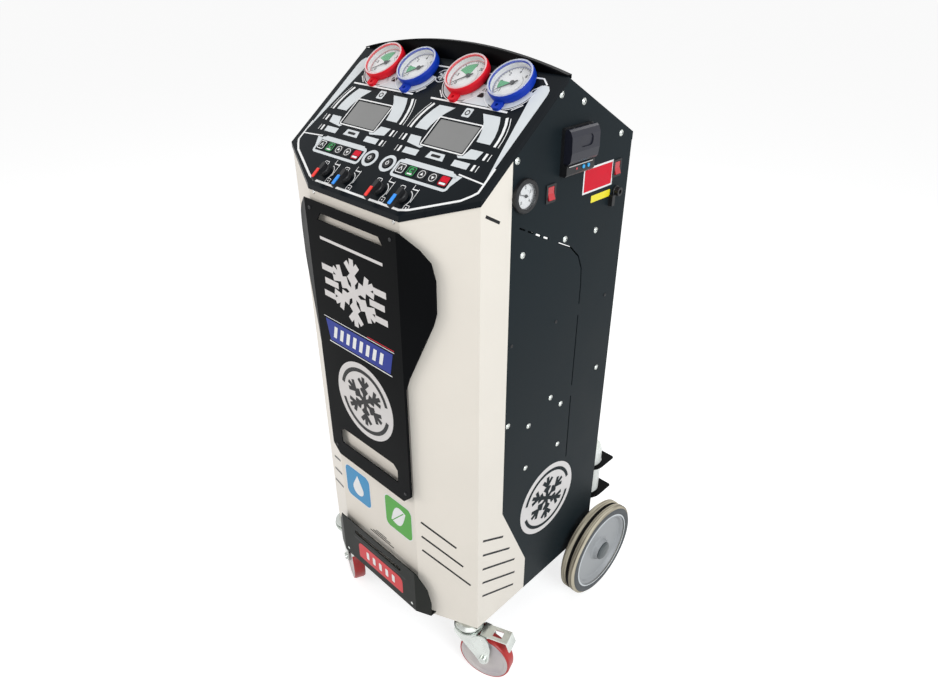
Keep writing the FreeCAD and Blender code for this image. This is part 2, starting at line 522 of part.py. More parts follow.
def caster_pieces():
    """One caster with its stem on the z axis, trailing to +y."""
    r, trail, z = CASTER_R, TRAIL, Z_BOTTOM
    race = turned([(0, z - 13), (26, z - 13), (32, z - 8), (32, z - 4), (24, z - 1), (24, z), (6, z),
                   (6, z + 24), (0, z + 24)])
    nut = prism([(11 * math.cos(a), 11 * math.sin(a)) for a in [math.radians(60 * k) for k in range(6)]],
                TOP, z + PLATE, z + PLATE + 10)
    stem = turned([(0, z - 34), (9, z - 34), (9, z - 29), (5.95, z - 29), (5.95, z - 11), (0, z - 11)])
    head = fuse([race, nut, stem])
    dish = turned([(6.0, z - 27), (27, z - 27), (32, z - 24), (34, z - 18), (34, z - 13.5), (30, z - 13.5),
                   (28, z - 16.5), (6.0, z - 16.5)])
    leg = [(-27, z - 22), (27, z - 22), (33, z - 17), (48, z - 17), (57, z - 28), (62, z - 50), (trail + 14, r),
           (trail + 9, r - 9.5), (trail, r - 13.5), (trail - 10, r - 10.5), (trail - 22, r + 3.5), (-2, r + 29.5),
           (-20, z - 44), (-29, z - 30)]
    legs = []
    for side in (-1, 1):
        legs.append(prism(leg, SIDE, side * 19.5 - 1.5, side * 19.5 + 1.5))
    crown = prism([(-20.9, -26), (20.9, -26), (20.9, 27), (-20.9, 27)], TOP, z - 27.5, z - 24)
    crown = crown.cut(Part.makeCylinder(6.0, 40, V(0, 0, 110)))
    bolt = fuse([rod(5.95, V(-21, trail, r), V(21, trail, r)), rod(9, V(21, trail, r), V(26, trail, r)),
                 rod(9, V(-26, trail, r), V(-21, trail, r))])
    fork = fuse([dish, crown] + legs + [bolt])
    pin = V(0, 41, z - 23)
    fork = fork.cut(rod(3.05, pin - X * 30, pin + X * 30))
    turn = V(-17.5, trail, r)
    core = turned([(6.0, 0), (14, 0), (14, 5), (48, 5), (51, 3), (r - 4.5, 3), (r - 4.5, 32), (51, 32), (48, 30),
                   (14, 30), (14, 35), (6.0, 35)], turn, X)
    tread = turned([(r - 4.5, 3.5), (r - 1.5, 3.5), (r, 7), (r, 28), (r - 1.5, 31.5), (r - 4.5, 31.5)], turn, X)
    deck = prism([(35, z - 18), (98, z - 12), (106, z - 34), (109, z - 33), (100, z - 9), (35, z - 15)], SIDE, -17, 17)
    window = box(-9, 9, 62, 84, z - 34, z - 4)
    ears = []
    for side in (-1, 1):
        ear = prism([(35, z - 26.2), (47, z - 26.2), (58, z - 14.5), (35, z - 17)], SIDE, side * 15.5 - 1.2, side * 15.5 + 1.2)
        ears.append(ear)
    pedal = fuse([deck.cut(window), rod(2.98, pin - X * 20.5, pin + X * 20.5)] + ears)
    return {"mount": head, "fork": fork, "wheel": core, "tread": tread, "pedal": pedal}


def make_casters():
    for name, side in (("right", 1), ("left", -1)):
        for piece, shape in caster_pieces().items():
            shape = shape.copy()
            if piece != "mount":
                shape.rotate(O, Z, -CASTER_TURN[name])
            shape.translate(V(side * CASTER_X, CASTER_Y, 0))
            parts["caster_%s_%s" % (piece, name)] = shape


def make_bottles():
    y0 = REAR_Y - 4 + SHEET
    half = W / 2 - 23.5
    pitch = (W - 127) / 3
    centres = [(pitch * (i - 1.5), REAR_Y + 64) for i in range(4)]
    shapes = []
    for z, hole in ((226, 0), (320, 37.0)):
        strip = [box(-half, half, y0, REAR_Y + 64, z, z + PLATE)]
        for x, y in centres:
            strip.append(Part.makeCylinder(50, PLATE, V(x, y, z)))
        plate = fuse(strip)
        plate = plate.cut(box(-400, 400, 400, y0, 0, 600))
        if hole:
            plate = plate.cut(Part.makeCompound([Part.makeCylinder(hole, 9, V(x, y, z - 3)) for x, y in centres]))
        shapes.append(plate)
    shapes.append(box(-half, half, y0, y0 + PLATE, 226, 340))
    parts["bottle_rack"] = fuse(shapes)
    body = [(0, 0), (34, 0), (36, 3), (36, 126), (32, 138), (18, 146), (18, 150), (0, 150)]
    cap = [(0, 150), (21, 150), (21, 168), (19, 171), (6, 171), (6, 180), (0, 180)]
    bottles = [turned(body, V(x, y, 228)) for x, y in centres]
    caps = [turned(cap, V(x, y, 228)) for x, y in centres]
    parts["oil_bottles"] = Part.makeCompound(bottles)
    parts["bottle_caps"] = Part.makeCompound(caps)
    ports = []
    for x in (-60, 60):
        ports.append(turned([(0, -16), (8.0, -16), (8.0, 0), (13, 0), (13, 10), (7.9, 10), (7.9, 30), (0, 30)],
                            V(x, y0, 560), Y))
    parts["service_ports"] = Part.makeCompound(ports)


make_front_shell()
make_side_panels()
make_rear()
make_floor()
make_control_panel()
make_visor()
make_front_cover()
make_kick_plate()
dials, lenses = make_gauges()
make_screens_and_keys()
make_levers()
make_side_gauge(dials, lenses)
make_printer()
make_rockers()
make_socket()
make_wheels()
make_casters()
make_bottles()

whole = FreeCAD.BoundBox()
for shape in parts.values():
    whole.add(shape.BoundBox)
shift = V(-(whole.XMin + whole.XMax) / 2, -(whole.YMin + whole.YMax) / 2, -whole.ZMin)
os.makedirs("parts", exist_ok=True)
for node, shape in parts.items():
    shape.translate(shift)
    shape.exportStep("parts/%s.step" % node)
print("nodes", len(parts), "size", whole.XLength, whole.YLength, whole.ZLength, "shift", shift)
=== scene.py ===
"""Looks of the air conditioning recharge station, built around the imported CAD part."""
import math

import bmesh
import bpy
from mathutils import Matrix, Vector


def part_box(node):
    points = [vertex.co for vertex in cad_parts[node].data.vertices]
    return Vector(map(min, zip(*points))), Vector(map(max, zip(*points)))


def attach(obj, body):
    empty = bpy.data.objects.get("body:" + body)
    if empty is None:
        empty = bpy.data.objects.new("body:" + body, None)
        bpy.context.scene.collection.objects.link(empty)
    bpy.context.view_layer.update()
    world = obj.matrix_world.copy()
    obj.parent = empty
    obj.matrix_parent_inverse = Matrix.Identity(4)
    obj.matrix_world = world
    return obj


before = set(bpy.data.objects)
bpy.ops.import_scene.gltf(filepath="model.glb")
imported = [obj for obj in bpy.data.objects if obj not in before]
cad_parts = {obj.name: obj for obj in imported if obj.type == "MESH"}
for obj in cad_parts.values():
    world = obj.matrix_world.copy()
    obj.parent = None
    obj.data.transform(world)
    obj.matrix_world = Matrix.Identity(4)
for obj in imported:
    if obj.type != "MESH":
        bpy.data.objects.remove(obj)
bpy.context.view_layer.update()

# Casing, as in the CAD source, in metres
HALF = 0.2585  # half of its width
FLAT = 0.1285  # half of the flat front's width
CHAMFER_Y = 0.0555  # depth of the facets beside the flat front
Z_FRONT = 1.101  # foot of the control panel
Z_REAR = 1.180  # rear edge of the roof
APEX_Y = 0.257  # ridge of the roof
REAR_RUN = 0.213  # from the ridge back to the rear edge
REAR_SCREW_Y = 0.4675  # seat of the screws in the rear panel
PLATE = 0.002  # thickness of the control panel
SLOPE = math.radians(37.9)  # of the control panel
CHAMFER = math.atan2(CHAMFER_Y, HALF - FLAT)
APEX_DROP = Z_FRONT + APEX_Y * math.tan(SLOPE) - Z_REAR
APEX_TOP = Z_FRONT + APEX_Y * math.tan(SLOPE) + PLATE

# Outer faces of the front cover and of the kick plate, before the shell's front
COVER = 0.012
KICK = 0.014

# Places on the control panel, x across it and s up its slope
GAUGE_S = 0.292
GAUGE_X = (-0.160, -0.064, 0.065, 0.168)
DIAL_R = 0.0385
DIAL_LIFT = 0.0049
NEEDLE_LIFT = 0.0084
EMBLEM_S = 0.2875
SCREEN_X = 0.115
SCREEN_S = 0.1705
KEY_S = 0.084
KEY_PITCH = 0.0265
KEY_TOP = 0.0008
BUTTON_X = 0.0245
BUTTON_S = KEY_S + 0.002
BUTTON_TOP = 0.0016
LEVER_S = 0.033
LEVER_X = (-0.103, -0.041, 0.051, 0.112)
LEVER_TOP = 0.0181

# Gauge on the right side, its y and z, and how far the printer's lip stands out there
SIDE_GAUGE = (0.157, 1.130)
SIDE_DIAL_R = 0.0212
SIDE_DIAL_LIFT = 0.0038
PRINTER_LIP = 0.015

# First and last mark of every dial, in degrees
DIAL_START = 225
DIAL_END = -45

# Height of ink, and the small steps that keep the overlapping shapes of one print apart
INK = 0.0002
STEP = 0.00001
LAYERS = 7

# Width of the vent slots in the shell's sides, and of the black strips of painted shade laid over them
SLOT_SHADE_WIDTH = 0.0052

# Strength of the white surroundings as light, and as what a ray sees, and of the floor's own glow
WORLD_LIGHT = 0.48
WORLD_SEEN = 0.956
FLOOR_SEEN = 0.70

# From the CAD source's own axes to the frame
axle_low, axle_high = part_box("axle")
SHIFT_X = (axle_low[0] + axle_high[0]) / 2
SHIFT_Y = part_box("front_shell")[0][1]

ACROSS = Vector((1, 0, 0))
BACK = Vector((0, 1, 0))
UP = Vector((0, 0, 1))
UP_SLOPE = Vector((0, math.cos(SLOPE), math.sin(SLOPE)))
OUT_SLOPE = Vector((0, -math.sin(SLOPE), math.cos(SLOPE)))


def place(x, y, z):
    """Point of the CAD source's own axes, in the frame."""
    return Vector((x + SHIFT_X, y + SHIFT_Y, z))


def slope_at(x, s, lift=0.0):
    """Point on the control panel."""
    return place(0, 0, Z_FRONT) + ACROSS * x + UP_SLOPE * s + OUT_SLOPE * (PLATE + lift)


def side_at(y, z, lift=0.0):
    """Point on the right side."""
    return place(HALF + lift, y, z)


def left_at(y, z, lift=0.0):
    """Point on the left side."""
    return place(-HALF - lift, y, z)


def front_at(x, z, lift=0.0):
    """Point on the shell's flat front."""
    return place(x, -lift, z)


def on_cover(x, z, lift):
    """Point on the front cover."""
    return front_at(x, z, COVER + lift)


def on_kick(x, z, lift):
    """Point on the kick plate."""
    return front_at(x, z, KICK + lift)


def turned_frame(origin, u, v):
    """Matrix whose local x, y and z are u, v and their normal."""
    w = u.cross(v)
    m = Matrix((u, v, w)).transposed().to_4x4()
    m.translation = origin
    return m


def mesh_of(bm, name):
    """Ends a bmesh and gives its mesh."""
    mesh = bpy.data.meshes.new(name)
    bm.to_mesh(mesh)
    bm.free()
    return mesh


def link(name, mesh, material, body="cabinet", matrix=None, smooth=False):
    """Adds a mesh to the scene as a piece that rides on a body."""
    for polygon in mesh.polygons:
        polygon.use_smooth = smooth
    piece = bpy.data.objects.new(name, mesh)
    bpy.context.scene.collection.objects.link(piece)
    mesh.materials.append(material)
    if matrix is not None:
        mesh.transform(matrix)
    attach(piece, body)


def prints(name, shapes, point, material, body="cabinet", depth=INK):
    """Thin ink: flat shapes given as point lists, put on a surface by point(u, v, lift)."""
    bm = bmesh.new()
    for i, shape in enumerate(shapes):
        lift = depth + STEP * (i % LAYERS)
        bm.faces.new([bm.verts.new(point(u, v, lift)) for u, v in shape])
    link(name, mesh_of(bm, name), material, body)


def lathe(profile, count=24):
    """Mesh of (radius, height) points turned about local z."""
    bm = bmesh.new()
    rings = []
    for r, h in profile:
        if r < 1e-6:
            rings.append([bm.verts.new((0, 0, h))])
        else:
            rings.append([bm.verts.new((r * math.cos(a), r * math.sin(a), h))
                          for a in [2 * math.pi * i / count for i in range(count)]])
    for a, b in zip(rings, rings[1:]):
        for i in range(count):
            j = (i + 1) % count
            corners = [a[i % len(a)], a[j % len(a)], b[j % len(b)], b[i % len(b)]]
            unique = [c for k, c in enumerate(corners) if c not in corners[:k]]
            if len(unique) > 2:
                bm.faces.new(unique)
    bmesh.ops.recalc_face_normals(bm, faces=bm.faces)
    return mesh_of(bm, "lathe")


def joined(name, parts, material, body="cabinet", smooth=True):
    """One object from several (mesh, matrix) pairs."""
    bm = bmesh.new()
    for mesh, matrix in parts:
        copy = mesh.copy()
        copy.transform(matrix)
        bm.from_mesh(copy)
        bpy.data.meshes.remove(copy)
    link(name, mesh_of(bm, name), material, body, smooth=smooth)


def rect(x0, x1, y0, y1, r=0.0, steps=6):
    """Rectangle, with rounded corners if r isn't nought."""
    if r <= 0:
        return [(x0, y0), (x1, y0), (x1, y1), (x0, y1)]
    corners = ((x1 - r, y1 - r, 0), (x0 + r, y1 - r, 90), (x0 + r, y0 + r, 180), (x1 - r, y0 + r, 270))
    points = []
    for cx, cy, start in corners:
        for i in range(steps + 1):
            a = math.radians(start + 90.0 * i / steps)
            points.append((cx + r * math.cos(a), cy + r * math.sin(a)))
    return points


def disc(cx, cy, r, count=48):
    """Round shape as a many-sided one."""
    angles = [2 * math.pi * i / count for i in range(count)]
    return [(cx + r * math.cos(a), cy + r * math.sin(a)) for a in angles]


def arc(cx, cy, r0, r1, start, end, count=24):
    """Ring segments between two radii, as four-sided pieces, angles in degrees."""
    shapes = []
    for i in range(count):
        a = math.radians(start + (end - start) * i / count)
        b = math.radians(start + (end - start) * (i + 1) / count)
        shapes.append([(cx + r0 * math.cos(a), cy + r0 * math.sin(a)),
                       (cx + r1 * math.cos(a), cy + r1 * math.sin(a)),
                       (cx + r1 * math.cos(b), cy + r1 * math.sin(b)),
                       (cx + r0 * math.cos(b), cy + r0 * math.sin(b))])
    return shapes


def stroke(points, width, closed=False):
    """Line of even width through points, as four-sided pieces with mitred corners."""
    n = len(points)
    sides = []
    for i in range(n):
        before = points[(i - 1) % n] if closed or i > 0 else None
        after = points[(i + 1) % n] if closed or i < n - 1 else None
        p = Vector(points[i])
        into = (p - Vector(before)).normalized() if before else None
        out = (Vector(after) - p).normalized() if after else None
        into = into or out
        out = out or into
        along = (into + out).normalized()
        side = Vector((-along.y, along.x))
        reach = width / 2 / max(0.35, side.dot(Vector((-into.y, into.x))))
        sides.append((p + side * reach, p - side * reach))
    pairs = list(zip(sides, sides[1:] + sides[:1])) if closed else list(zip(sides, sides[1:]))
    return [[tuple(a[0]), tuple(a[1]), tuple(b[1]), tuple(b[0])] for a, b in pairs]


def moved(shapes, dx, dy, turn=0.0):
    """Flat shapes, turned about the origin and then shifted."""
    c, s = math.cos(turn), math.sin(turn)
    return [[(dx + (x * c - y * s), dy + (x * s + y * c)) for x, y in shape] for shape in shapes]


def shifted(points, x, y, flip=1):
    """Points put round (x, y), mirrored across when flip is -1."""
    return [(x + flip * u, y + v) for u, v in points]


# Materials

def shader(name):
    """New material, its nodes and links, and its main shader."""
    material = bpy.data.materials.new(name)
    material.use_nodes = True
    nodes = material.node_tree.nodes
    return material, nodes, material.node_tree.links, nodes["Principled BSDF"]


def noise(nodes, links, scale, detail=4.0, stretch=None):
    """Noise of 0 to 1 in the piece's own space."""
    coords = nodes.new("ShaderNodeTexCoord")
    texture = nodes.new("ShaderNodeTexNoise")
    texture.inputs["Scale"].default_value = scale
    texture.inputs["Detail"].default_value = detail
    source = coords.outputs["Object"]
    if stretch:
        mapping = nodes.new("ShaderNodeMapping")
        mapping.inputs["Scale"].default_value = stretch
        links.new(source, mapping.inputs["Vector"])
        source = mapping.outputs["Vector"]
    links.new(source, texture.inputs["Vector"])
    return texture.outputs["Fac"]


def ramp(nodes, links, fac, stops):
    """Colour that follows a value, from (value, colour) stops."""
    node = nodes.new("ShaderNodeValToRGB")
    elements = node.color_ramp.elements
    while len(elements) < len(stops):
        elements.new(0.5)
    for element, (at, colour) in zip(elements, stops):
        element.position = at
        element.color = (*colour, 1)
    links.new(fac, node.inputs["Fac"])
    return node.outputs["Color"]


def spread(nodes, links, fac, low_value, high_value):
    """Noise widened to run from one value to another."""
    node = nodes.new("ShaderNodeMapRange")
    node.inputs["From Min"].default_value = 0.3
    node.inputs["From Max"].default_value = 0.7
    node.inputs["To Min"].default_value = low_value
    node.inputs["To Max"].default_value = high_value
    links.new(fac, node.inputs["Value"])
    return node.outputs["Result"]


def bump(nodes, links, height, strength, distance, target):
    """Fine relief on a shader."""
    node = nodes.new("ShaderNodeBump")
    node.inputs["Strength"].default_value = strength
    node.inputs["Distance"].default_value = distance
    links.new(height, node.inputs["Height"])
    links.new(node.outputs["Normal"], target.inputs["Normal"])


def tint(colour, factor):
    """Brighter or darker colour."""
    return tuple(min(1.0, c * factor) for c in colour)


def finish(name, colour, rough=(0.35, 0.5), vary=0.05, cloud=9.0, grain=600.0, relief=0.12, metal=0.0,
           coat=0.0, shine=0.5):
    """General finish: cloudy colour, uneven gloss and fine relief."""
    material, nodes, links, bsdf = shader(name)
    slow = noise(nodes, links, cloud, 5.0)
    fine = noise(nodes, links, grain, 3.0)
    colours = ramp(nodes, links, slow, [(0.3, tint(colour, 1 - vary)), (0.7, tint(colour, 1 + vary))])
    links.new(colours, bsdf.inputs["Base Color"])
    links.new(spread(nodes, links, slow, rough[0], rough[1]), bsdf.inputs["Roughness"])
    bump(nodes, links, fine, relief, 0.0002, bsdf)
    bsdf.inputs["Metallic"].default_value = metal
    bsdf.inputs["Specular IOR Level"].default_value = shine
    bsdf.inputs["Coat Weight"].default_value = coat
    bsdf.inputs["Coat Roughness"].default_value = 0.12
    return material


def worn_finish(name, colour, worn, rough=(0.4, 0.6), amount=0.62, grain=500.0, stretch=None):
    """Rubber or nylon with paler dusty patches."""
    material, nodes, links, bsdf = shader(name)
    slow = noise(nodes, links, 14.0, 8.0, stretch)
    fine = noise(nodes, links, grain, 4.0)
    colours = ramp(nodes, links, slow, [(0.35, colour), (amount, worn)])
    links.new(colours, bsdf.inputs["Base Color"])
    links.new(spread(nodes, links, slow, rough[0], rough[1]), bsdf.inputs["Roughness"])
    bump(nodes, links, fine, 0.3, 0.0004, bsdf)
    return material


def glass_with_painted_reflection(name, reflection_at_slant=0.16, least=0.006):
    """Glass that is nearly unseen face on, with a pale film of painted reflection that shows at a slant."""
    material, nodes, links, bsdf = shader(name)
    weight = nodes.new("ShaderNodeLayerWeight")
    weight.inputs["Blend"].default_value = 0.3
    haze = noise(nodes, links, 30.0)
    links.new(spread(nodes, links, haze, 0.04, 0.09), bsdf.inputs["Roughness"])
    add = nodes.new("ShaderNodeMath")
    add.operation = "MULTIPLY_ADD"
    add.inputs[1].default_value = reflection_at_slant
    add.inputs[2].default_value = least
    links.new(weight.outputs["Facing"], add.inputs[0])
    links.new(add.outputs["Value"], bsdf.inputs["Alpha"])
    # Painted reflection: pale colour that shows where the alpha rises at a slant
    bsdf.inputs["Base Color"].default_value = (0.9, 0.93, 0.95, 1)
    bsdf.inputs["Specular IOR Level"].default_value = 1.0
    return material


def milky_finish(name, colour):
    """Cloudy plastic that lets light into it."""
    material, nodes, links, bsdf = shader(name)
    slow = noise(nodes, links, 20.0)
    colours = ramp(nodes, links, slow, [(0.3, tint(colour, 0.94)), (0.7, colour)])
    links.new(colours, bsdf.inputs["Base Color"])
    links.new(spread(nodes, links, slow, 0.3, 0.45), bsdf.inputs["Roughness"])
    bsdf.inputs["Subsurface Weight"].default_value = 0.5
    bsdf.inputs["Subsurface Radius"].default_value = (0.02, 0.02, 0.02)
    bsdf.inputs["Subsurface Scale"].default_value = 0.3
    return material


# Each finish has its name, colour, least and most roughness, how much the colour varies, scale of the
# clouds in it, scale of the grain and strength of the relief
MAT = {
    "white": finish("white_powder_coat", (0.78, 0.725, 0.65), (0.32, 0.42), 0.02, 5.0, 900.0, 0.10,
                    shine=0.25),
    "slate": finish("slate_powder_coat", (0.0105, 0.0158, 0.0190), (0.40, 0.52), 0.12, 6.0, 1100.0,
                    0.25, shine=0.065),
    "black": finish("black_powder_coat", (0.0028, 0.0031, 0.0036), (0.34, 0.46), 0.15, 8.0, 1100.0,
                    0.2, shine=0.03),
    "overlay": finish("printed_overlay", (0.0050, 0.0075, 0.0100), (0.24, 0.34), 0.12, 7.0, 500.0,
                      0.05, shine=0.08),
    "red_rubber": finish("red_rubber", (0.66, 0.004, 0.016), (0.4, 0.55), 0.08, 30.0, 700.0, 0.15, shine=0.3),
    "blue_rubber": finish("blue_rubber", (0.0, 0.030, 0.36), (0.4, 0.55), 0.08, 30.0, 700.0, 0.15, shine=0.3),
    "dial": finish("dial_paper", (0.74, 0.74, 0.74), (0.5, 0.6), 0.02, 40.0, 900.0, 0.05, shine=0.2),
    "lens": glass_with_painted_reflection("clear_lens"),
    # Painted reflection: a denser pale film for the ring round each lens rim
    "lens_edge_reflection": glass_with_painted_reflection("clear_lens_edge", 0.35, 0.42),
    "kick": finish("kick_powder_coat", (0.0125, 0.0140, 0.0120), (0.36, 0.48), 0.12, 9.0, 1100.0, 0.2,
                   shine=0.08),
    "black_plastic": finish("black_plastic", (0.010, 0.0105, 0.012), (0.35, 0.5), 0.15, 20.0, 1500.0,
                            0.2, shine=0.35),
    "key": finish("key_plastic", (0.010, 0.011, 0.012), (0.3, 0.4), 0.1, 20.0, 900.0, 0.1, shine=0.3),
    "red_plastic": finish("red_plastic", (0.50, 0.006, 0.016), (0.15, 0.25), 0.06, 40.0, 500.0, 0.05,
                          coat=0.4),
    "blue_plastic": finish("blue_plastic", (0.02, 0.36, 0.72), (0.25, 0.35), 0.05, 60.0, 900.0, 0.05),
    "display": finish("display_glass", (0.180, 0.180, 0.178), (0.10, 0.18), 0.05, 12.0, 300.0, 0.02,
                      coat=0.4, shine=0.5),
    "zinc": finish("zinc_plate", (0.60, 0.63, 0.60), (0.16, 0.36), 0.16, 26.0, 400.0, 0.15, metal=0.95),
    "steel": finish("bright_steel", (0.60, 0.60, 0.59), (0.2, 0.35), 0.08, 40.0, 700.0, 0.1, metal=1.0),
    "brass": finish("brass", (0.62, 0.45, 0.18), (0.2, 0.35), 0.08, 40.0, 700.0, 0.1, metal=1.0),
    "nylon": worn_finish("caster_nylon", (0.42, 0.38, 0.40), (0.56, 0.52, 0.50), (0.3, 0.5)),
    "tread": finish("caster_tread", (0.40, 0.007, 0.006), (0.3, 0.45), 0.15, 40.0, 500.0, 0.15),
    "tyre": worn_finish("tyre_rubber", (0.11, 0.092, 0.066), (0.54, 0.485, 0.37), (0.65, 0.85), 0.58, 350.0,
                        (18.0, 0.5, 0.5)),
    "sidewall": worn_finish("tyre_sidewall", (0.030, 0.036, 0.041), (0.058, 0.064, 0.068), (0.5, 0.7),
                            0.7, 500.0),
    "wheel": finish("wheel_plastic", (0.33, 0.34, 0.35), (0.35, 0.5), 0.05, 12.0, 900.0, 0.12, shine=0.4),
    "bottle": milky_finish("bottle_plastic", (0.80, 0.82, 0.79)),
    "green_cap": finish("lime_cap", (0.32, 0.60, 0.03), (0.3, 0.4), 0.06, 40.0, 700.0, 0.1),
    "pale_ink": finish("pale_ink", (0.60, 0.63, 0.65), (0.3, 0.4), 0.03, 30.0, 500.0, 0.03),
    "white_ink": finish("white_ink", (0.80, 0.80, 0.80), (0.3, 0.4), 0.02, 30.0, 500.0, 0.03),
    "cover_ink": finish("cover_ink", (0.66, 0.63, 0.62), (0.35, 0.45), 0.03, 30.0, 500.0, 0.03),
    "black_ink": finish("black_ink", (0.008, 0.008, 0.009), (0.35, 0.5), 0.1, 30.0, 500.0, 0.03, shine=0.2),
    "green_ink": finish("green_ink", (0.02, 0.34, 0.08), (0.3, 0.4), 0.05, 30.0, 500.0, 0.03),
    "dial_green": finish("dial_green", (0.075, 0.36, 0.16), (0.45, 0.55), 0.04, 60.0, 500.0, 0.03, shine=0.2),
    "red_ink": finish("red_ink", (0.62, 0.004, 0.022), (0.3, 0.4), 0.04, 30.0, 500.0, 0.03, shine=0.15),
    "plate_red": finish("plate_red", (0.64, 0.010, 0.018), (0.28, 0.36), 0.04, 15.0, 400.0, 0.03, shine=0.25),
    "blue_ink": finish("blue_ink", (0.003, 0.022, 0.27), (0.28, 0.36), 0.05, 15.0, 400.0, 0.03, shine=0.2),
    "sky_ink": finish("sky_ink", (0.010, 0.25, 0.52), (0.28, 0.36), 0.04, 15.0, 400.0, 0.03, shine=0.3),
    "leaf_ink": finish("leaf_ink", (0.055, 0.35, 0.022), (0.28, 0.36), 0.04, 15.0, 400.0, 0.03, shine=0.3),
    "yellow_ink": finish("yellow_ink", (0.85, 0.72, 0.02), (0.3, 0.4), 0.04, 30.0, 400.0, 0.03),
    "printer": finish("printer_plastic", (0.012, 0.013, 0.022), (0.26, 0.36), 0.1, 20.0, 1200.0, 0.12,
                      shine=0.4),
    "hub": finish("hub_plastic", (0.062, 0.074, 0.078), (0.35, 0.5), 0.08, 30.0, 900.0, 0.12),
    # Painted shade: near black for the inside of the tyre's groove
    "groove_shade": finish("tyre_groove", (0.012, 0.011, 0.010), (0.6, 0.8), 0.1, 30.0, 500.0, 0.2, shine=0.2),
    "bar_red": finish("lever_red", (0.80, 0.03, 0.02), (0.25, 0.35), 0.05, 60.0, 600.0, 0.05),
    "bar_blue": finish("lever_blue", (0.03, 0.28, 0.85), (0.25, 0.35), 0.05, 60.0, 600.0, 0.05),
}

NODE_MATERIALS = {
    "white": ["front_shell"],
    "slate": ["side_panel_right", "side_panel_left", "rear_panel", "top_cover"],
    "kick": ["kick_plate"],
    "black": ["front_cover", "visor", "floor_pan", "bottle_rack"],
    "overlay": ["control_panel"],
    "red_rubber": ["gauge_case_1", "gauge_case_3"],
    "blue_rubber": ["gauge_case_2", "gauge_case_4"],
    "dial": ["gauge_dials"],
    "lens": ["gauge_lenses"],
    "black_plastic": ["side_gauge_case", "printer_body", "rocker_bezels", "cable_gland",
                      "side_gauge_needle", "valve_lever_1", "valve_lever_2", "valve_lever_3", "valve_lever_4",
                      "gauge_needle_1", "gauge_needle_2", "gauge_needle_3", "gauge_needle_4"],
    "key": ["keypads", "button_left", "button_right"],
    "red_plastic": ["rocker_1", "rocker_2"],
    "blue_plastic": ["printer_button_1", "printer_button_2"],
    "display": ["displays"],
    "zinc": ["caster_mount_right", "caster_mount_left", "caster_fork_right", "caster_fork_left",
             "caster_pedal_right", "caster_pedal_left"],
    "steel": ["axle"],
    "brass": ["service_ports", "valve_bodies"],
    "nylon": ["caster_wheel_right", "caster_wheel_left"],
    "tread": ["caster_tread_right", "caster_tread_left"],
    "tyre": ["tyre_right", "tyre_left"],
    "wheel": ["rim_right", "rim_left"],
    "hub": ["axle_caps"],
    "printer": ["printer_lid"],
    "bottle": ["oil_bottles"],
    "green_cap": ["bottle_caps"],
}


def dress_nodes():
    """Gives each CAD node its material."""
    for key, nodes in NODE_MATERIALS.items():
        for node in nodes:
            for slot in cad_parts[node].material_slots:
                slot.material = MAT[key]


# Control panel

def panel_border():
    """White lines round the panel, the same on both sides, and a pale wedge down each side."""
    low_line = [(0.120, 0.0105), (0.140, 0.0165), (0.224, 0.060), (0.238, 0.073), (0.2455, 0.082),
                (0.2455, 0.130)]
    high_line = [(0.110, 0.309), (0.118, 0.3145), (0.218, 0.3145), (0.232, 0.303)]
    wedge = [(0.2450, 0.098), (0.2432, 0.108), (0.2155, 0.284), (0.219, 0.296), (0.228, 0.302),
             (0.237, 0.301), (0.2435, 0.293), (0.2455, 0.282)]
    short_line = [(0.186, 0.1035), (0.2445, 0.0985)]
    hair_line = [(0.2245, 0.301), (0.2112, 0.288), (0.2135, 0.268)]
    shapes = []
    for half, width in ((low_line, 0.0044), (high_line, 0.0028)):
        shapes += stroke(shifted(half, 0, 0, -1)[::-1] + half, width)
    for side in (-1, 1):
        shapes += stroke(shifted(short_line, 0, 0, side), 0.0026)
        shapes += stroke(shifted(hair_line, 0, 0, side), 0.0014)
    prints("panel_border", shapes, slope_at, MAT["white_ink"])
    prints("panel_wedges", [shifted(wedge, 0, 0, side) for side in (-1, 1)], slope_at, MAT["pale_ink"])


def gauge_bands():
    """Pale banner behind the lower half of each pair of gauges, and an emblem between the pairs."""
    pale, white, dots = [], [], []
    for left, right in (GAUGE_X[:2], GAUGE_X[2:]):
        for x in (left, right):
            pale += arc(x, GAUGE_S, 0.040, 0.0515, 190, 350, 28)
            white += arc(x, GAUGE_S, 0.0535, 0.0550, 192, 348, 28)
        middle = (left + right) / 2
        pale.append([(middle - 0.030, GAUGE_S - 0.052), (middle + 0.030, GAUGE_S - 0.052),
                     (middle + 0.020, GAUGE_S - 0.022), (middle - 0.020, GAUGE_S - 0.022)])
        white += stroke([(left - 0.054, GAUGE_S - 0.0555), (right + 0.026, GAUGE_S - 0.0555)], 0.0036)
        white += stroke([(left - 0.046, GAUGE_S - 0.036), (left - 0.030, GAUGE_S - 0.050)], 0.0022)
        white += stroke([(right + 0.046, GAUGE_S - 0.036), (right + 0.030, GAUGE_S - 0.050)], 0.0022)
        dots.append(rect(middle - 0.007, middle + 0.007, GAUGE_S - 0.036, GAUGE_S - 0.026, 0.002, 3))
    prints("gauge_band_pale", pale, slope_at, MAT["pale_ink"])
    prints("gauge_band_lines", white, slope_at, MAT["white_ink"], depth=2 * INK)
    prints("gauge_band_dots", dots, slope_at, MAT["black_ink"], depth=2 * INK)
    emblem = []
    for start in (20, 200):
        emblem += arc(0.0, EMBLEM_S, 0.0135, 0.0155, start, start + 140, 14)
    emblem += moved(flake(0.0105, 0.0016), 0.0, EMBLEM_S)
    prints("panel_emblem", emblem, slope_at, MAT["pale_ink"])


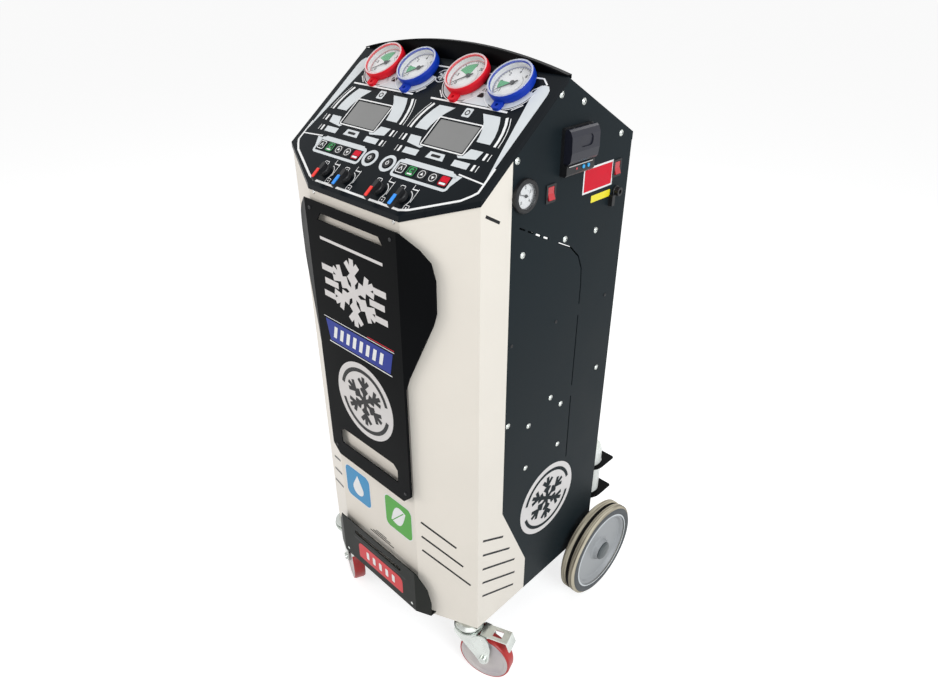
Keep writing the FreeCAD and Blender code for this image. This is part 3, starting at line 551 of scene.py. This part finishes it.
def screen_prints():
    """Pale wings, dashes and tags round each screen, the same on both sides of it."""
    wing = [(0.033, 0.055), (0.047, 0.038), (0.054, 0.024), (0.058, 0.011), (0.060, -0.001), (0.090, -0.001),
            (0.089, 0.014), (0.085, 0.029), (0.079, 0.043), (0.072, 0.055)]
    hook = [(0.041, -0.0345), (0.053, -0.033), (0.060, -0.0165), (0.0875, -0.0165), (0.0835, -0.0335),
            (0.046, -0.0385)]
    line = [(0.086, 0.056), (0.093, 0.042), (0.098, 0.026), (0.1005, 0.011), (0.101, -0.003)]
    hair = [(0.094, 0.056), (0.101, 0.042), (0.106, 0.026), (0.1085, 0.011), (0.109, -0.003)]
    dashes = [rect(0.0950, 0.1000, -0.0315, -0.0175), rect(0.1060, 0.1075, -0.0315, -0.0175),
              rect(0.0868, 0.0918, -0.0555, -0.0430), rect(0.0975, 0.0990, -0.0555, -0.0430)]
    foot = rect(0.043, 0.0785, -0.0555, -0.0430)
    badge = rect(-0.0090, 0.0090, 0.0410, 0.0600, 0.002, 3)
    plate = [(-0.0210, -0.0530), (0.0210, -0.0530), (0.0175, -0.0390), (-0.0175, -0.0390)]
    pale, white, dark = [], [], []
    for x in (-SCREEN_X, SCREEN_X):
        outline = rect(x - 0.0515, x + 0.0515, SCREEN_S - 0.0315, SCREEN_S + 0.0315, 0.003, 3)
        white += stroke(outline, 0.0026, closed=True)
        for flip in (-1, 1):
            pale += [shifted(shape, x, SCREEN_S, flip) for shape in (wing, hook, foot)]
            white += stroke(shifted(line, x, SCREEN_S, flip), 0.0052)
            white += stroke(shifted(hair, x, SCREEN_S, flip), 0.0014)
            white += [shifted(dash, x, SCREEN_S, flip) for dash in dashes]
        pale += [shifted(shape, x, SCREEN_S) for shape in (badge, plate)]
        dark.append(rect(x - 0.0110, x + 0.0110, SCREEN_S - 0.0487, SCREEN_S - 0.0433, 0.002, 3))
        dark += arc(x, SCREEN_S + 0.0505, 0.0034, 0.0056, 0, 360, 20)
    prints("screen_wings", pale, slope_at, MAT["pale_ink"])
    prints("screen_frames", white, slope_at, MAT["white_ink"])
    prints("screen_tags", dark, slope_at, MAT["black_ink"], depth=2 * INK)


def key_top_at(x, s, lift):
    """Point on the ink of the flat keys."""
    return slope_at(x, s, KEY_TOP + INK + lift)


def button_top_at(x, s, lift):
    """Point on a push button."""
    return slope_at(x, s, BUTTON_TOP + lift)


def key_frames(side):
    """Pale frame round the keys of one side and round the push button beside them."""
    x = side * SCREEN_X
    outline = rect(x - 0.0680, x + 0.0680, KEY_S - 0.0160, KEY_S + 0.0160, 0.006, 4)
    shapes = stroke(outline, 0.0055, closed=True)
    shapes.append([(x - 0.066, KEY_S + 0.0115), (x + 0.066, KEY_S + 0.0115), (x + 0.058, KEY_S + 0.0215),
                   (x - 0.058, KEY_S + 0.0215)])
    shapes.append([(x + side * 0.066, KEY_S - 0.016), (x + side * 0.066, KEY_S + 0.016),
                   (x + side * 0.082, KEY_S + 0.0165)])
    return shapes + arc(side * BUTTON_X, BUTTON_S, 0.0118, 0.0180, 0, 360, 40)


def key_prints():
    """Frames, outlines and signs of the five keys under each screen and of the two push buttons."""
    frames, white, green, red, icons = [], [], [], [], []
    outlined = {0: white, 1: green, 4: red}
    for side in (-1, 1):
        frames += key_frames(side)
        for i in range(5):
            x = side * SCREEN_X + KEY_PITCH * (i - 2)
            if i in outlined:
                box = rect(x - 0.0088, x + 0.0088, KEY_S - 0.0086, KEY_S + 0.0086, 0.003, 4)
                outlined[i].extend(stroke(box, 0.0014, closed=True))
            if i == 0:
                caret = [(x - 0.004, KEY_S - 0.003), (x, KEY_S + 0.004), (x + 0.004, KEY_S - 0.003)]
                icons += stroke(caret, 0.0016)
            elif i == 1:
                green += arc(x, KEY_S + 0.0015, 0.0022, 0.0050, 30, 330, 14)
                icons.append(rect(x - 0.006, x + 0.006, KEY_S - 0.0072, KEY_S - 0.0042, 0.001, 2))
            elif i == 4:
                red.append(rect(x - 0.0078, x + 0.0078, KEY_S - 0.0022, KEY_S + 0.0076, 0.002, 3))
                icons.append(rect(x - 0.007, x + 0.007, KEY_S - 0.0075, KEY_S - 0.0035, 0.001, 2))
            else:
                icons += arc(x, KEY_S, 0.0068, 0.0080, 0, 360, 24)
                flip = 1 if i == 2 else -1
                icons.append([(x - 0.0035, KEY_S - flip * 0.002), (x + 0.0035, KEY_S - flip * 0.002),
                              (x, KEY_S + flip * 0.004)])
    prints("key_frames", frames, slope_at, MAT["pale_ink"])
    prints("key_outlines", white, key_top_at, MAT["white_ink"])
    prints("key_green", green, key_top_at, MAT["green_ink"])
    prints("key_red", red, key_top_at, MAT["red_ink"])
    prints("key_icons", icons, key_top_at, MAT["white_ink"], depth=2 * INK)
    for side, name in ((-1, "left"), (1, "right")):
        x = side * BUTTON_X
        shapes = arc(x, BUTTON_S, 0.0026, 0.0040, 120, 420, 16)
        shapes += stroke([(x, BUTTON_S + 0.001), (x, BUTTON_S + 0.0052)], 0.0014)
        prints("button_icon_" + name, shapes, button_top_at, MAT["white_ink"], "push_" + name)


def lever_prints():
    """White marks round the valve levers, and a coloured bar on each lever."""
    white = []
    s = LEVER_S
    for x in LEVER_X:
        white += arc(x, s, 0.0165, 0.0182, -35, 70, 12)
        white += stroke([(x + 0.020, s - 0.004), (x + 0.020, s + 0.024)], 0.0012)
        white += stroke([(x + 0.006, s + 0.020), (x + 0.006, s + 0.030)], 0.0012)
        white += stroke([(x + 0.006, s + 0.021), (x + 0.020, s + 0.021)], 0.0022)
        for dx, ds in ((-0.017, 0.017), (0.019, -0.015)):
            box = rect(x + dx - 0.0055, x + dx + 0.0055, s + ds - 0.005, s + ds + 0.005, 0.0015, 2)
            white += stroke(box, 0.0012, closed=True)
            white.append(disc(x + dx, s + ds, 0.0016, 10))
    prints("lever_marks", white, slope_at, MAT["white_ink"])
    for number, x in enumerate(LEVER_X, 1):
        bar = bevelled_bar(0.0062, 0.0205, 0.0016)
        matrix = turned_frame(slope_at(x, s - 0.016, LEVER_TOP), ACROSS, UP_SLOPE)
        material = MAT["bar_red"] if number % 2 else MAT["bar_blue"]
        joined("lever_bar_%d" % number, [(bar, matrix)], material, "lever_%d" % number, smooth=False)


def bevelled_bar(width, length, height):
    """Bar with a bevelled top and no bottom face, from just below local z = 0."""
    bevel = 0.0006
    x, y = width / 2, length / 2
    bottom = rect(-x, x, -y, y, 0.0012, 3)
    top = rect(-x + bevel, x - bevel, -y + bevel, y - bevel, 0.0008, 3)
    bm = bmesh.new()
    rows = [[bm.verts.new((u, v, z)) for u, v in ring] for ring, z in
            ((bottom, -bevel), (bottom, height - bevel), (top, height))]
    for a, b in zip(rows, rows[1:]):
        for i in range(len(a)):
            j = (i + 1) % len(a)
            bm.faces.new((a[i], a[j], b[j], b[i]))
    bm.faces.new(rows[-1])
    return mesh_of(bm, "bar")


def words(name, text, size, matrix, material):
    """Generic characters as a flat mesh, centred on the matrix."""
    curve = bpy.data.curves.new(name, "FONT")
    curve.body = text
    curve.size = size
    curve.offset = 0.022 * size
    curve.align_x = "CENTER"
    curve.align_y = "CENTER"
    holder = bpy.data.objects.new(name + "_text", curve)
    mesh = bpy.data.meshes.new_from_object(holder)
    bpy.data.objects.remove(holder)
    link(name, mesh, material, matrix=matrix)


def dial_angle(part):
    """Angle of a mark, in radians, for a part of the scale from 0 to 1."""
    return math.radians(DIAL_START - (DIAL_START - DIAL_END) * part)


def dial_marks(name, matrix, radius, numbers, sector, rim, letter=0.24):
    """Ticks, numbers, a green sector and a coloured rim on a round dial."""

    def on_dial(u, v, lift):
        return matrix @ Vector((u, v, lift))

    ticks = []
    steps = (len(numbers) - 1) * 5
    for i in range(steps + 1):
        a = dial_angle(i / steps)
        inner = 0.80 if i % 5 == 0 else 0.86
        c, s = math.cos(a), math.sin(a)
        ticks += stroke([(inner * radius * c, inner * radius * s), (0.92 * radius * c, 0.92 * radius * s)],
                        radius * (0.036 if i % 5 == 0 else 0.018))
    ticks += arc(0, 0, 0.915 * radius, 0.93 * radius, DIAL_END, DIAL_START, 40)
    ticks += arc(0, 0, 0.50 * radius, 0.512 * radius, DIAL_END, 60, 20)
    prints(name + "_ticks", ticks, on_dial, MAT["black_ink"])
    if sector:
        shapes = arc(0, 0, 0.10 * radius, 0.77 * radius, sector[0], sector[1], 18)
        prints(name + "_sector", shapes, on_dial, MAT["dial_green"])
    shapes = arc(0, 0, 0.955 * radius, 0.985 * radius, DIAL_END, DIAL_START, 40)
    prints(name + "_rim", shapes, on_dial, MAT[rim])
    for i, number in enumerate(numbers):
        a = dial_angle(i / (len(numbers) - 1))
        spot = Matrix.Translation((0.68 * radius * math.cos(a), 0.68 * radius * math.sin(a), INK))
        words("%s_number_%d" % (name, i), number, letter * radius, matrix @ spot, MAT["black_ink"])


def panel_gauge(number, x):
    """Dial marks, dial wall, a ring of painted reflection on the lens edge and needle hub of one gauge on the
    panel.
    """
    matrix = turned_frame(slope_at(x, GAUGE_S, DIAL_LIFT), ACROSS, UP_SLOPE)
    name = "gauge_%d" % number
    radius = DIAL_R - 0.0012
    if number % 2:
        dial_marks(name, matrix, radius, ["0", "5", "10", "15", "20", "25", "30"], (84, 160), "red_ink")
    else:
        dial_marks(name, matrix, radius, ["-1", "0", "2", "4", "6", "8", "10"], (174, 210), "blue_ink")
    wall = lathe([(DIAL_R - 0.0002, 0.0002), (DIAL_R - 0.0002, 0.0124)], 64)
    joined("dial_wall_%d" % number, [(wall, matrix)], MAT["dial"])
    # Painted reflection: ring of pale film round the lens rim
    edge = lathe([(DIAL_R - 0.0004, 0.0126), (DIAL_R, 0.0137), (DIAL_R + 0.0026, 0.0137),
                  (DIAL_R + 0.0030, 0.0130)], 64)
    joined("lens_edge_%d" % number, [(edge, matrix)], MAT["lens_edge_reflection"])
    hub = lathe([(0, 0.0012), (0.0022, 0.001), (0.0030, 0.0), (0.0030, -0.0004)])
    hub_at = turned_frame(slope_at(x, GAUGE_S, NEEDLE_LIFT), ACROSS, UP_SLOPE)
    joined("needle_hub_%d" % number, [(hub, hub_at)], MAT["black_plastic"], "needle_%d" % number)


def gauge_faces():
    """Marks and hubs of the four panel gauges and of the one on the side."""
    for number, x in enumerate(GAUGE_X, 1):
        panel_gauge(number, x)
    y, z = SIDE_GAUGE
    matrix = turned_frame(side_at(y, z, SIDE_DIAL_LIFT), BACK, UP)
    dial_marks("side_gauge", matrix, SIDE_DIAL_R - 0.0008, ["0", "1", "2", "3", "4"], None, "black_ink", 0.34)
    hub = lathe([(0, 0.0010), (0.0022, 0.0009), (0.0030, 0.0), (0.0030, -0.0004)], 20)
    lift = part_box("side_gauge_needle")[1][0] - SHIFT_X - HALF
    hub_at = turned_frame(side_at(y, z, lift), BACK, UP)
    joined("side_needle_hub", [(hub, hub_at)], MAT["black_plastic"], "side_needle")


# Signs on the casing

def flake(size, width):
    """Six-armed ice crystal from strokes."""
    shapes = []
    for k in range(6):
        arm = stroke([(0, 0), (0, size)], width)
        arm += stroke([(-0.26 * size, 0.86 * size), (0, 0.58 * size), (0.26 * size, 0.86 * size)], width)
        arm += stroke([(-0.17 * size, 0.50 * size), (0, 0.32 * size), (0.17 * size, 0.50 * size)], width)
        shapes += moved(arm, 0, 0, math.radians(60 * k))
    return shapes


def crystal_disc(name, point, cx, cy, radius, inner, ink):
    """Pale disc with an ice crystal between two arcs."""
    prints(name, [disc(cx, cy, radius)], point, MAT["cover_ink"])
    dark = []
    for start in (15, 195):
        dark += arc(cx, cy, inner * radius, 0.86 * radius, start, start + 150, 28)
    dark += moved(flake(0.66 * radius, 0.0095), cx, cy)
    prints(name + "_marks", dark, point, MAT[ink], depth=2 * INK)


def cover_signs():
    """Crystal with bars, a blue band and a disc on the front cover."""
    shapes = moved(flake(0.070, 0.0125), 0.0, 0.922)
    for i, (left, right) in enumerate(((-0.096, -0.060), (-0.090, -0.047), (-0.096, -0.060))):
        z = 0.950 - 0.028 * i
        shapes += [rect(left, right, z - 0.0065, z + 0.0065), rect(-right, -left, z - 0.0065, z + 0.0065)]
    shapes.append(rect(-0.092, 0.092, 1.006, 1.012))
    prints("cover_graphic", shapes, on_cover, MAT["cover_ink"])
    band = [(-0.104, 0.834), (0.104, 0.834), (0.094, 0.787), (-0.094, 0.787)]
    prints("cover_band", [band], on_cover, MAT["blue_ink"])
    white = stroke([(-0.1085, 0.8385), (0.1085, 0.8385)], 0.0016)
    white += stroke([(-0.0985, 0.7835), (0.0985, 0.7835)], 0.0022)
    prints("cover_band_lines", white, on_cover, MAT["white_ink"])
    red = stroke([(0.030, 0.8425), (0.1085, 0.8425)], 0.0018)
    prints("cover_band_red", red, on_cover, MAT["red_ink"])
    bars = []
    for i in range(8):
        x = -0.074 + 0.0205 * i
        bars.append([(x - 0.0085, 0.797), (x + 0.0015, 0.797), (x + 0.0085, 0.824), (x - 0.0015, 0.824)])
    prints("cover_band_bars", bars, on_cover, MAT["white_ink"], depth=2 * INK)
    crystal_disc("cover_disc", on_cover, 0.004, 0.680, 0.0885, 0.76, "black_ink")


def drop_outline():
    """Point on top, then the round part clockwise."""
    points = [(0.0, 0.031)]
    for i in range(21):
        a = math.radians(35 - 250.0 * i / 20)
        points.append((0.019 * math.cos(a), -0.009 + 0.019 * math.sin(a)))
    return points


def leaf_outline():
    """Pointed leaf along the diagonal, its upper edge first."""
    points = []
    for i, bulge in [(i, 0.017) for i in range(13)] + [(12 - i, -0.017) for i in range(1, 12)]:
        t = i / 12
        points.append((-0.024 + 0.048 * t, -0.022 + 0.044 * t + bulge * math.sin(math.pi * t)))
    return [(x - 0.35 * (y - x), y + 0.35 * (y - x)) for x, y in points]


def shell_signs():
    """Two coloured squares with a drop and a leaf on the shell, and a red sign and a strip of painted slot
    shade on the kick plate.
    """
    cz = 0.401
    for name, cx in (("sky", -0.070), ("leaf", 0.072)):
        edge = rect(cx - 0.0455, cx + 0.0455, cz - 0.0465, cz + 0.0465, 0.016)
        prints("square_edge_" + name, [edge], front_at, MAT["white_ink"])
        square = rect(cx - 0.0435, cx + 0.0435, cz - 0.0445, cz + 0.0445, 0.0145)
        prints("square_" + name, [square], front_at, MAT[name + "_ink"], depth=2 * INK)
    white = MAT["white_ink"]
    prints("square_drop", moved([drop_outline()], -0.070, cz), front_at, white, depth=3 * INK)
    prints("square_leaf", moved([leaf_outline()], 0.072, 0.403), front_at, white, depth=3 * INK)
    vein = stroke([(0.050, 0.379), (0.090, 0.423)], 0.0022)
    prints("square_leaf_vein", vein, front_at, MAT["leaf_ink"], depth=4 * INK)
    sign = [(-0.073, 0.187), (-0.070, 0.184), (0.085, 0.184), (0.088, 0.187)]
    for cx, start in ((0.074, 0), (-0.059, 90)):
        for i in range(7):
            a = math.radians(start + 15 * i)
            sign.append((cx + 0.014 * math.cos(a), 0.219 + 0.014 * math.sin(a)))
    prints("kick_sign", [sign], on_kick, MAT["plate_red"])
    bars = [rect(-0.044 + 0.0235 * i, -0.034 + 0.0235 * i, 0.1965, 0.2195, 0.003, 3) for i in range(5)]
    prints("kick_sign_bars", bars, on_kick, MAT["white_ink"], depth=2 * INK)
    # Painted shade: a long black strip on the kick plate for the dark inside of a slot
    prints("kick_slot_shade", [rect(-0.088, 0.100, 0.2380, 0.2440, 0.0028, 4)], on_kick, MAT["black_ink"])


def strokes(lines, width):
    """All pieces of several lines of one width."""
    return [shape for line in lines for shape in stroke(line, width)]


def slot_shadows():
    """Painted shade: black strips laid over the vent slots in the white shell, for their dark depth."""
    ends = ((0.133, 0.380), (0.156, 0.328), (0.175, 0.279), (0.177, 0.236), (0.174, 0.198))
    side = [[(0.070, 0.413 - 0.0415 * i), end] for i, end in enumerate(ends)]
    side.append([(0.067, 1.117), (0.100, 1.098)])
    facet = [[(0.013, 0.431 - 0.0405 * i), (0.013 + run, 0.431 - 0.0405 * i - 0.57 * run)]
             for i, run in enumerate((0.080, 0.095, 0.112))]
    for flip, name in ((1, "right"), (-1, "left")):

        def flank(u, v, lift):
            return place(flip * (HALF + lift), u, v)

        def chamfer(u, v, lift):
            x = FLAT + u * math.cos(CHAMFER) + lift * math.sin(CHAMFER)
            return place(flip * x, u * math.sin(CHAMFER) - lift * math.cos(CHAMFER), v)

        # Painted shade in the slots, on the flat sides and on the facets
        prints("flank_slot_shade_" + name, strokes(side, SLOT_SHADE_WIDTH), flank, MAT["black_ink"])
        prints("chamfer_slot_shade_" + name, strokes(facet, SLOT_SHADE_WIDTH), chamfer, MAT["black_ink"])


def front_slot_shade():
    """Painted shade: three short black strips on the shell, over the kick plate, for the dark insides of
    slots.
    """
    rows = ((-0.016, 0.022, 0.301), (-0.027, 0.035, 0.295), (-0.038, 0.047, 0.289))
    lines = [[(x0, z), (x1, z)] for x0, x1, z in rows]
    # Painted shade of the slots, as flat black ink
    prints("front_slot_shade", strokes(lines, 0.0030), front_at, MAT["black_ink"])


def side_signs():
    """Bare red and yellow plates on the right side, and a disc on each side."""
    prints("side_plate_edge", [rect(0.322, 0.415, 1.0915, 1.1395, 0.001, 2)], side_at, MAT["white_ink"])
    red = rect(0.3255, 0.4115, 1.095, 1.136, 0.001, 2)
    prints("side_plate_red", [red], side_at, MAT["red_ink"], depth=2 * INK)
    prints("side_plate_yellow", [rect(0.351, 0.412, 1.070, 1.0835, 0.001, 2)], side_at, MAT["yellow_ink"])
    crystal_disc("side_disc", side_at, 0.281, 0.392, 0.092, 0.77, "slate")
    crystal_disc("left_disc", left_at, 0.281, 0.392, 0.092, 0.77, "slate")


# Fasteners and trim

SCREW = [(0.0014, 0.0026), (0.0028, 0.0024), (0.0040, 0.0014), (0.0045, 0.0005), (0.0060, 0.0005),
         (0.0060, -0.0003)]
# Hollow in the screw heads, coloured black as painted shade
RECESS = [(0, 0.0018), (0.0014, 0.0018), (0.0014, 0.0026)]
SOCKET = [(0, 0.0004), (0.0014, 0.0004), (0.0014, 0.0016), (0.0030, 0.0014), (0.0036, 0.0006),
          (0.0036, -0.0003)]

# Places of the screws and rivets on the sides, y and z
SIDE_SCREWS = ((0.243, 1.277), (0.306, 1.258), (0.431, 1.185), (0.139, 1.190), (0.377, 1.010), (0.280, 1.019),
               (0.430, 0.675), (0.269, 0.674), (0.306, 0.640), (0.201, 0.638), (0.137, 0.672), (0.306, 0.532),
               (0.198, 0.530), (0.161, 1.023))
SIDE_RIVETS = ((0.433, 0.852), (0.269, 0.852), (0.139, 0.852))


def fasteners():
    """Screws and rivets of the casing, with painted shade in black in the screw heads' recesses."""
    big = lathe(SCREW, 20)
    small = lathe(SOCKET, 16)
    recess = lathe(RECESS, 12)
    for side, name, u, v in ((1, "right", BACK, UP), (-1, "left", UP, BACK)):
        parts = [(big, turned_frame(place(side * HALF, y, z), u, v)) for y, z in SIDE_SCREWS]
        joined("side_screws_" + name, parts, MAT["zinc"])
        # Painted shade: black hollows in the zinc screw heads
        joined("side_recess_shade_" + name, [(recess, m) for _, m in parts], MAT["black_plastic"])
        parts = [(small, turned_frame(place(side * HALF, y, z), u, v)) for y, z in SIDE_RIVETS]
        joined("side_rivets_" + name, parts, MAT["black_plastic"])
    parts = [(small, turned_frame(front_at(x, 1.089, 0), ACROSS, UP)) for x in (-0.114, 0.114)]
    joined("shell_screws", parts, MAT["steel"])
    parts = [(small, turned_frame(front_at(x, z, COVER), ACROSS, UP))
             for x in (-0.116, 0.116) for z in (1.062, 0.505)]
    joined("cover_screws", parts, MAT["black_plastic"])
    prints("kick_screws", [disc(x, 0.178, 0.0036, 20) for x in (-0.118, 0.118)], on_kick, MAT["zinc"])
    parts = [(big, turned_frame(place(x, REAR_SCREW_Y, z), -ACROSS, UP))
             for x in (-0.235, 0.235) for z in (0.40, 0.62, 0.86, 1.10)]
    joined("rear_screws", parts, MAT["zinc"])
    drop = math.atan2(APEX_DROP, REAR_RUN)
    up_roof = Vector((0, -math.cos(drop), math.sin(drop)))
    parts = []
    for x in (-0.235, 0.0, 0.235):
        for y in (0.297, 0.455):
            z = APEX_TOP - math.tan(drop) * (y - APEX_Y)
            parts.append((big, turned_frame(place(x, y, z), -ACROSS, up_roof)))
    joined("top_screws", parts, MAT["zinc"])


def frame_centre(node):
    """Middle of a node's box, in the frame."""
    a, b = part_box(node)
    return [(a[i] + b[i]) / 2 for i in range(3)]


def printer_trim():
    """Red lamp and paper edge on the printer's lip."""
    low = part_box("printer_body")[0]
    y0, z0 = low[1] - SHIFT_Y, low[2]

    def on_lip(u, v, lift):
        return place(HALF + PRINTER_LIP + lift, u, v)

    lamp = disc(y0 + 0.028, z0 + 0.012, 0.0021, 16)
    prints("printer_led", [lamp], on_lip, MAT["red_plastic"], depth=2 * INK)
    strip = rect(y0 + 0.006, y0 + 0.074, z0 + 0.0172, z0 + 0.0187)
    prints("printer_paper_edge", [strip], on_lip, MAT["steel"])


def rack_corners():
    """Squared outer corners on the round lobes of the two bottle shelves."""
    cy = frame_centre("oil_bottles")[1]
    pitch, radius, cut = 0.130, 0.050, 0.004
    angles = [math.radians(10 * k) for k in range(10)]
    for name, z in (("lower", 0.226), ("upper", 0.320)):
        bm = bmesh.new()
        for i in range(4):
            cx = SHIFT_X + pitch * (i - 1.5)
            for flip in (1, -1):
                shape = [(cx + flip * radius * math.cos(a), cy + radius * math.sin(a)) for a in angles]
                shape += [(cx + flip * (radius - cut), cy + radius), (cx + flip * radius, cy + radius - cut)]
                below, above = [[bm.verts.new((x, y, z + h)) for x, y in shape] for h in (0.0001, 0.0019)]
                bm.faces.new(below)
                bm.faces.new(above)
                for k in range(len(shape)):
                    j = (k + 1) % len(shape)
                    bm.faces.new((below[k], below[j], above[j], above[k]))
        bmesh.ops.recalc_face_normals(bm, faces=bm.faces)
        link("rack_corners_" + name, mesh_of(bm, "rack_corners_" + name), MAT["black"])


def tyre_sidewalls():
    """Dark sidewalls and a pale lip round the rim of the rear wheels, and painted shade: a near-black strip
    lining the groove in their tread.
    """
    groove_shade = [(0.1222, 0.0038), (0.1136, 0.0022), (0.1136, -0.0022), (0.1222, -0.0038)]
    for side, name in ((1, "right"), (-1, "left")):
        matrix = turned_frame(Vector(frame_centre("tyre_" + name)), side * BACK, UP)
        walls, lips = [], []
        for flip in (1, -1):
            wall = [(0.1032, flip * 0.0203), (0.110, flip * 0.0223), (0.1188, flip * 0.0208)]
            lip = [(0.0992, flip * 0.0212), (0.1008, flip * 0.0222), (0.1030, flip * 0.0210)]
            walls.append((lathe(wall, 96), matrix))
            lips.append((lathe(lip, 96), matrix))
        body = "wheel_" + name
        joined("tyre_side_" + name, walls, MAT["sidewall"], body)
        joined("rim_lip_" + name, lips, MAT["pale_ink"], body)
        joined("tyre_groove_" + name, [(lathe(groove_shade, 96), matrix)], MAT["groove_shade"], body)


# Stage

def seen_rays(nodes, links):
    """One for camera, glossy and transmission rays, else nought."""
    path = nodes.new("ShaderNodeLightPath")
    value = path.outputs["Is Camera Ray"]
    for kind in ("Is Glossy Ray", "Is Transmission Ray"):
        greater = nodes.new("ShaderNodeMath")
        greater.operation = "MAXIMUM"
        links.new(value, greater.inputs[0])
        links.new(path.outputs[kind], greater.inputs[1])
        value = greater.outputs["Value"]
    return value


def build_stage():
    """Pale floor that glows for the rays that see it, so that it meets the background without an edge."""
    bm = bmesh.new()
    size = 60.0
    corners = ((-size, -size, 0), (size, -size, 0), (size, size, 0), (-size, size, 0))
    bm.faces.new([bm.verts.new(p) for p in corners])
    mesh = mesh_of(bm, "floor")
    floor = bpy.data.objects.new("floor", mesh)
    bpy.context.scene.collection.objects.link(floor)
    material, nodes, links, bsdf = shader("floor_pale")
    bsdf.inputs["Base Color"].default_value = (0.52, 0.52, 0.52, 1)
    bsdf.inputs["Roughness"].default_value = 0.9
    bsdf.inputs["Specular IOR Level"].default_value = 0.0
    glow = nodes.new("ShaderNodeEmission")
    level = nodes.new("ShaderNodeMath")
    level.operation = "MULTIPLY"
    level.inputs[1].default_value = FLOOR_SEEN
    links.new(seen_rays(nodes, links), level.inputs[0])
    links.new(level.outputs["Value"], glow.inputs["Strength"])
    add = nodes.new("ShaderNodeAddShader")
    links.new(bsdf.outputs["BSDF"], add.inputs[0])
    links.new(glow.outputs["Emission"], add.inputs[1])
    links.new(add.outputs["Shader"], nodes["Material Output"].inputs["Surface"])
    mesh.materials.append(material)


def build_world():
    """White surroundings, brighter for the rays that see them than for the light they give."""
    world = bpy.data.worlds.new("studio")
    bpy.context.scene.world = world
    world.use_nodes = True
    nodes, links = world.node_tree.nodes, world.node_tree.links
    background = nodes["Background"]
    strength = nodes.new("ShaderNodeMapRange")
    strength.inputs["To Min"].default_value = WORLD_LIGHT
    strength.inputs["To Max"].default_value = WORLD_SEEN
    links.new(seen_rays(nodes, links), strength.inputs["Value"])
    links.new(strength.outputs["Result"], background.inputs["Strength"])
    background.inputs["Color"].default_value = (1, 1, 1, 1)


# Name, place, height aimed at, side of the square, energy and colour of each lamp
LAMPS = (
    ("key", (3.2, -0.9, 2.3), 0.7, 1.8, 84, (0.93, 0.975, 1.0)),
    ("fill", (-1.7, -2.9, 1.9), 0.7, 2.0, 46, (1.0, 0.985, 0.96)),
    ("top", (0.3, 0.3, 3.6), 0.8, 2.4, 22, (1, 1, 1)),
    ("back", (-0.5, 3.0, 2.4), 0.7, 2.0, 24, (1, 1, 1)),
)


def build_lamps():
    """Square lamps, all aimed at the middle of the part."""
    for name, position, height, size, energy, colour in LAMPS:
        data = bpy.data.lights.new(name, "AREA")
        data.shape = "RECTANGLE"
        data.size = size
        data.size_y = size
        data.energy = energy
        data.color = colour
        lamp = bpy.data.objects.new(name, data)
        bpy.context.scene.collection.objects.link(lamp)
        lamp.location = position
        aim = Vector((0, 0, height)) - Vector(position)
        lamp.rotation_euler = aim.to_track_quat("-Z", "Y").to_euler()


# Camera fitted to the photo: focal length and optical centre in its pixels
WIDE, HIGH = 938.0, 700.0
FOCAL = 681.3
CENTRE = (470.46, 329.62)
YAW, PITCH = math.radians(44.29), math.radians(29.25)


def build_camera():
    """Camera at the place the photo was taken from."""
    data = bpy.data.cameras.new("camera")
    camera = bpy.data.objects.new("camera", data)
    bpy.context.scene.collection.objects.link(camera)
    forward = Vector((-math.sin(YAW) * math.cos(PITCH), math.cos(YAW) * math.cos(PITCH), -math.sin(PITCH)))
    right = Vector((math.cos(YAW), math.sin(YAW), 0))
    up = right.cross(forward)
    matrix = Matrix((right, up, -forward)).transposed().to_4x4()
    matrix.translation = place(0.94787, -0.67377, 1.48207)
    camera.matrix_world = matrix
    data.sensor_width = 36.0
    data.lens = FOCAL * 36.0 / WIDE
    data.shift_x = (WIDE / 2 - CENTRE[0]) / WIDE
    data.shift_y = (CENTRE[1] - HIGH / 2) / WIDE
    data.clip_end = 200.0
    bpy.context.scene.camera = camera


dress_nodes()
panel_border()
gauge_bands()
screen_prints()
key_prints()
lever_prints()
gauge_faces()
cover_signs()
shell_signs()
side_signs()
slot_shadows()
front_slot_shade()
fasteners()
printer_trim()
rack_corners()
tyre_sidewalls()
build_stage()
build_world()
build_lamps()
build_camera()
bpy.context.scene.view_settings.view_transform = "Standard"
